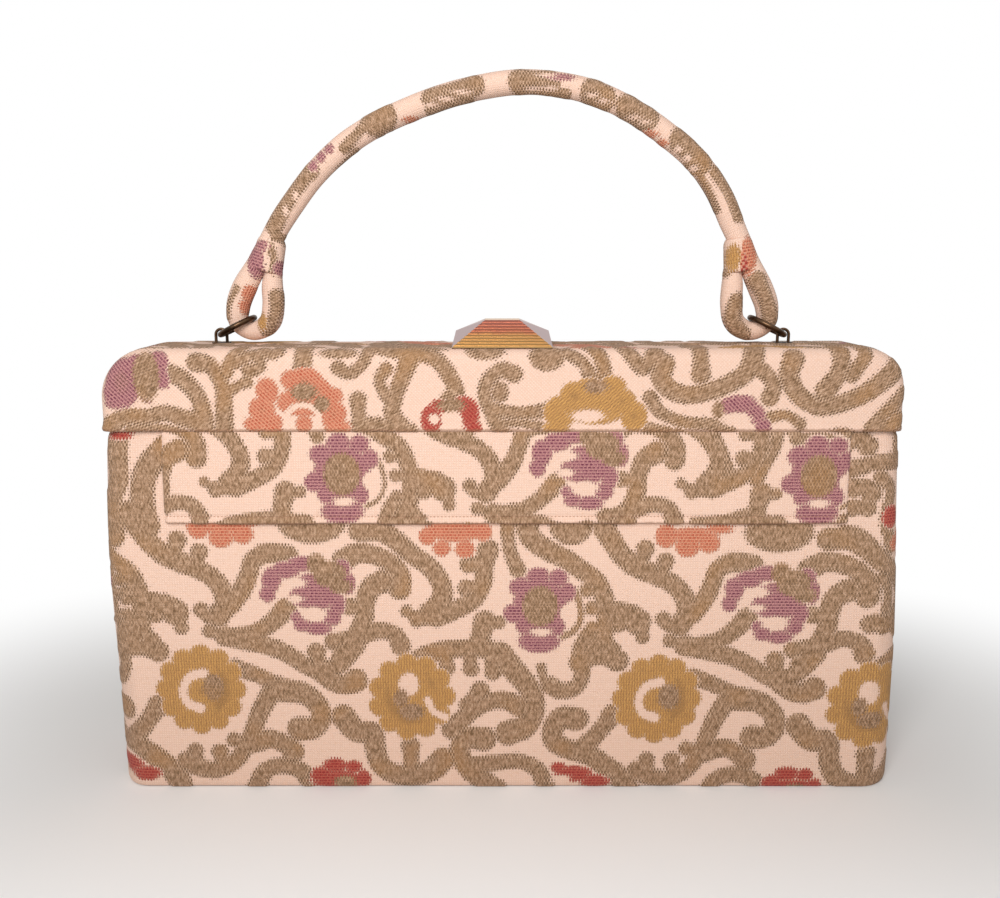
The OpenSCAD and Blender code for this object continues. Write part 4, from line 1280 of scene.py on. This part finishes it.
def collar(name, side, lean, node):
    """The sewn wrap that binds a handle end to itself."""
    foot, head = np.array(by_eye(COLLAR_FOOT, side, lean)), np.array(by_eye(COLLAR_HEAD, side, lean))
    axis = (head - foot) / np.linalg.norm(head - foot)
    length = np.linalg.norm(head - foot) + 2 * COLLAR_OVER
    around = np.linspace(0, 2 * math.pi, COLLAR_AROUND, endpoint=False)
    c, s = (np.sign(w) * np.abs(w) ** COLLAR_ROUND for w in (np.cos(around), np.sin(around)))
    points, cloth = [], []
    for f in np.arange(COLLAR_ROWS) / (COLLAR_ROWS - 1):
        wide, deep = (HANDLE_D * (low + (high - low) * f) + ease
                      for (low, high), ease in zip((COLLAR_WIDE, COLLAR_DEEP), COLLAR_EASE))
        roll = FOOT_ROLL * np.clip(1 - f * length / FOOT_OVER, 0, 1) ** 2
        roll += HEAD_ROLL * np.clip(1 - (1 - f) * length / HEAD_OVER, 0, 1) ** 2
        x = c * (wide - roll)
        centre = foot + axis * (f * length - COLLAR_OVER)
        points.append(np.column_stack([centre[0] + axis[1] * x, HANDLE_BACK + s * (deep - roll),
                                       centre[1] - axis[0] * x]))
        cloth.append(np.column_stack([around * COLLAR_RUN, np.full(len(around), f * length)]))
    points, uv = np.array(points), np.array(cloth).reshape(-1, 2)
    faces = grid_faces(*points.shape[:2], close_cols=True)
    piece = sew(name, points, handle_figure(points), uv, "handle", node, faces)
    thicken(piece, COLLAR_THICK)


def lining_piece(name, points, body, order=1):
    """A piece of the satin lining, one grid of points."""
    piece = make_mesh(name, points.reshape(-1, 3), grid_faces(*points.shape[:2])[:, ::order])
    dress(piece, LINING, body, ["lining"])
    return piece


LINING_LOW, LINING_HIGH = box_mm("lining")
LINING_ROWS, LINING_COLS, LINING_R, LINING_END = 70, 180, 4.0, 0.9
# How deep the lining's folds are and how far from its top and foot they are full
LINING_FOLD, FOLD_FROM_TOP, FOLD_FROM_FOOT = 0.35, 30, 20


def lining_half(name, face):
    """Half of the satin lining: one side and half of each end, with soft upright folds."""
    a, r = LINING_HIGH[0] - LINING_END, LINING_R
    arc = np.linspace(0, math.pi / 2, 6)
    rows = []
    for z in np.linspace(LINING_LOW[2] + 0.5, LINING_HIGH[2], LINING_ROWS):
        b = half_depth(z) - LINING_IN
        left = [(-a, -e) for e in np.linspace(0, b - r, 8)[:-1]]
        left += [(-(a - r) - r * math.cos(t), -(b - r) - r * math.sin(t)) for t in arc]
        middle = [(x, -b) for x in np.linspace(-(a - r), a - r, LINING_COLS)[1:-1]]
        plan = np.array(left + middle + [(-x, y) for x, y in reversed(left)])
        loose = np.clip((LINING_HIGH[2] - z) / FOLD_FROM_TOP, 0, 1)
        loose = loose * np.clip((z - LINING_LOW[2]) / FOLD_FROM_FOOT, 0, 1)
        wave = 1 + np.sin(plan[:, 0] / 3.1 + 0.8 * math.sin(z / 21))
        fold = LINING_FOLD * loose * wave * (plan[:, 1] <= -b + 0.01)
        rows.append(level(plan[:, 0] * -face, (plan[:, 1] + fold) * -face, z))
    follow(lining_piece(name, np.array(rows), None, -1))


def lining_end(name, side):
    """The lining's fold behind each end, which shows when the frame opens."""
    y = np.linspace(-PLEAT_HALF, PLEAT_HALF, PLEAT_POINTS)
    z = np.linspace(PLEAT_Z, LINING_HIGH[2] - 1.0, 40)
    grid_z, grid_y = np.meshgrid(z, y, indexing="ij")
    x = side * (LINING_HIGH[0] - 0.35) + 0.15 * side * np.cos(grid_y * 1.1)
    points = np.stack([x, grid_y, grid_z], axis=-1)
    lining_piece(name, points, "body", -side)


def lining_floor():
    """The lining's floor, laid on the base board with a soft dip."""
    a, b = LINING_HIGH[0] - 1.0, half_depth(LINING_LOW[2]) - LINING_IN - 0.1
    t, s = np.meshgrid(np.linspace(-b, b, 30), np.linspace(-a, a, 160), indexing="ij")
    points = np.stack([s, t, LINING_LOW[2] + 0.7 + 0.15 * np.sin(s / 14) * np.sin(t / 6)], axis=-1)
    lining_piece("lining_floor", points, "body")


body_shell("front_cloth", -1, FRONT_STEP, front_figure, "front_panel")
body_shell("rear_cloth", 1, REAR_STEP, rear_figure, "rear_panel")
for end, side in (("left", -1), ("right", 1)):
    gusset_half(end + "_gusset_front", side, -1, end + "_gusset")
    gusset_half(end + "_gusset_rear", side, 1, end + "_gusset")
    gusset_pleat(end + "_gusset_pleat", side, end + "_gusset")
base_cloth()
pocket()
cover("front_cover_cloth", -1, cover_figure, "front_frame_cover", "front_frame", FINE_STEP)
cover("rear_cover_cloth", 1, rear_cover_figure, "rear_frame_cover", "rear_frame", COVER_STEP)
handle()
collar("left_collar_cloth", -1, LEAN_LEFT, "left_collar")
collar("right_collar_cloth", 1, LEAN_RIGHT, "right_collar")
lining_half("lining_front", -1)
lining_half("lining_rear", 1)
lining_end("lining_left_fold", -1)
lining_end("lining_right_fold", 1)
lining_floor()

for material, slot, nodes in (
    (GILT, "gilt", ("clasp_lever", "clasp_base", "clasp_keeper")),
    (STEEL, "steel", ("clasp_pin", "clasp_spring", "front_rail", "rear_rail", "left_hinge_rivet",
                      "right_hinge_rivet")),
    (BRONZE, "bronze", ("left_handle_eye", "right_handle_eye", "left_ring", "right_ring")),
    (BOARD, "board", ("front_board", "rear_board", "base_board")),
):
    for node in nodes:
        dress(frame["nodes"][node], material)
# The soft edge of the clasp lever's ridges, in metres
LEVER_SOFT = 0.00018
lever_edges = frame["nodes"]["clasp_lever"].modifiers.new("soft_edges", "BEVEL")
lever_edges.width = LEVER_SOFT
lever_edges.segments = 2
lever_edges.limit_method = "ANGLE"


# Camera, floor and light
def set_camera():
    data = bpy.data.cameras.new("photo_camera")
    data.sensor_width = SENSOR_MM
    data.sensor_fit = "HORIZONTAL"
    data.lens = SENSOR_MM * FOCAL_PX / PHOTO_W
    camera = bpy.data.objects.new("photo_camera", data)
    camera.location = Vector(CAMERA_AT * MM)
    camera.rotation_euler = Euler((math.pi / 2 - CAMERA_PITCH, 0, 0))
    data.clip_start, data.clip_end = 0.01, 50
    bpy.context.scene.collection.objects.link(camera)
    bpy.context.scene.camera = camera


STUDIO_TINT, STUDIO_WHITE = (1.0, 0.985, 0.965, 1), (1, 1, 1, 1)
STUDIO_SOFT, STUDIO_SEEN = 0.34, 1.0


def set_world():
    """Even studio light, white to the camera and in what metal mirrors."""
    world = bpy.data.worlds.new("studio")
    world.use_nodes = True
    bpy.context.scene.world = world
    tree = world.node_tree
    soft = tree.nodes["Background"]
    soft.inputs["Color"].default_value = STUDIO_TINT
    soft.inputs["Strength"].default_value = STUDIO_SOFT
    white = tree.nodes.new("ShaderNodeBackground")
    white.inputs["Color"].default_value = STUDIO_WHITE
    white.inputs["Strength"].default_value = STUDIO_SEEN
    path = tree.nodes.new("ShaderNodeLightPath")
    mix = tree.nodes.new("ShaderNodeMixShader")
    seen = tree.nodes.new("ShaderNodeMath")
    seen.operation = "MAXIMUM"
    tree.links.new(path.outputs["Is Camera Ray"], seen.inputs[0])
    tree.links.new(path.outputs["Is Glossy Ray"], seen.inputs[1])
    tree.links.new(seen.outputs[0], mix.inputs[0])
    tree.links.new(soft.outputs[0], mix.inputs[1])
    tree.links.new(white.outputs[0], mix.inputs[2])
    tree.links.new(mix.outputs[0], tree.nodes["World Output"].inputs["Surface"])


FLOOR_SIZE = 6.0
FLOOR_PALE, FLOOR_GREY = (0.86, 0.85, 0.84, 1), (0.8, 0.79, 0.78, 1)
FLOOR_CLEAR, FLOOR_FADED = 0.01, 0.22


def set_floor():
    """A pale floor that takes the bag's shadow and fades to white further off."""
    mesh = bpy.data.meshes.new("floor")
    s = FLOOR_SIZE
    mesh.from_pydata([(-s, -s, 0), (s, -s, 0), (s, s, 0), (-s, s, 0)], [], [(0, 1, 2, 3)])
    floor = bpy.data.objects.new("floor", mesh)
    bpy.context.scene.collection.objects.link(floor)
    g = Graph("pale_floor")
    place = g.object_place()
    g.base(g.mix(g.times(g.noise(place, 3.0, 2.0), 0.1), FLOOR_PALE, FLOOR_GREY))
    g.shader.inputs["Roughness"].default_value = 0.9
    away = []
    for axis, half in zip(g.split(place), (HALF_W_FOOT, HALF_D_FOOT)):
        out = g.math("MAXIMUM", g.less(g.math("ABSOLUTE", axis), half * MM), 0.0)
        away.append(g.times(out, out))
    far = g.ramp(g.math("SQRT", g.plus(*away)), FLOOR_CLEAR, FLOOR_FADED)
    fade = g.times(g.node("LightPath")["Is Camera Ray"], far)
    both = g.node("MixShader", {0: fade, 1: g.shader.outputs[0], 2: g.node("Emission")[0]})
    g.put(g.tree.nodes["Material Output"].inputs["Surface"], both[0])
    mesh.materials.append(g.material)


def lamp(name, at, target, size, power, colour):
    data = bpy.data.lights.new(name, "AREA")
    data.shape = "DISK"
    data.size = size
    data.energy = power
    data.color = colour
    light = bpy.data.objects.new(name, data)
    light.location = Vector(at)
    light.rotation_euler = (Vector(target) - Vector(at)).to_track_quat("-Z", "Y").to_euler()
    bpy.context.scene.collection.objects.link(light)


set_camera()
set_world()
set_floor()
lamp("key", (-0.08, -0.52, 0.43), (0, 0, 0.17), 0.35, 3.0, (1.0, 0.98, 0.97))
lamp("top", (0.2, -0.3, 1.2), (0, 0, 0.1), 0.8, 0.5, (1.0, 0.99, 0.97))
bpy.context.scene.view_settings.view_transform = "Standard"
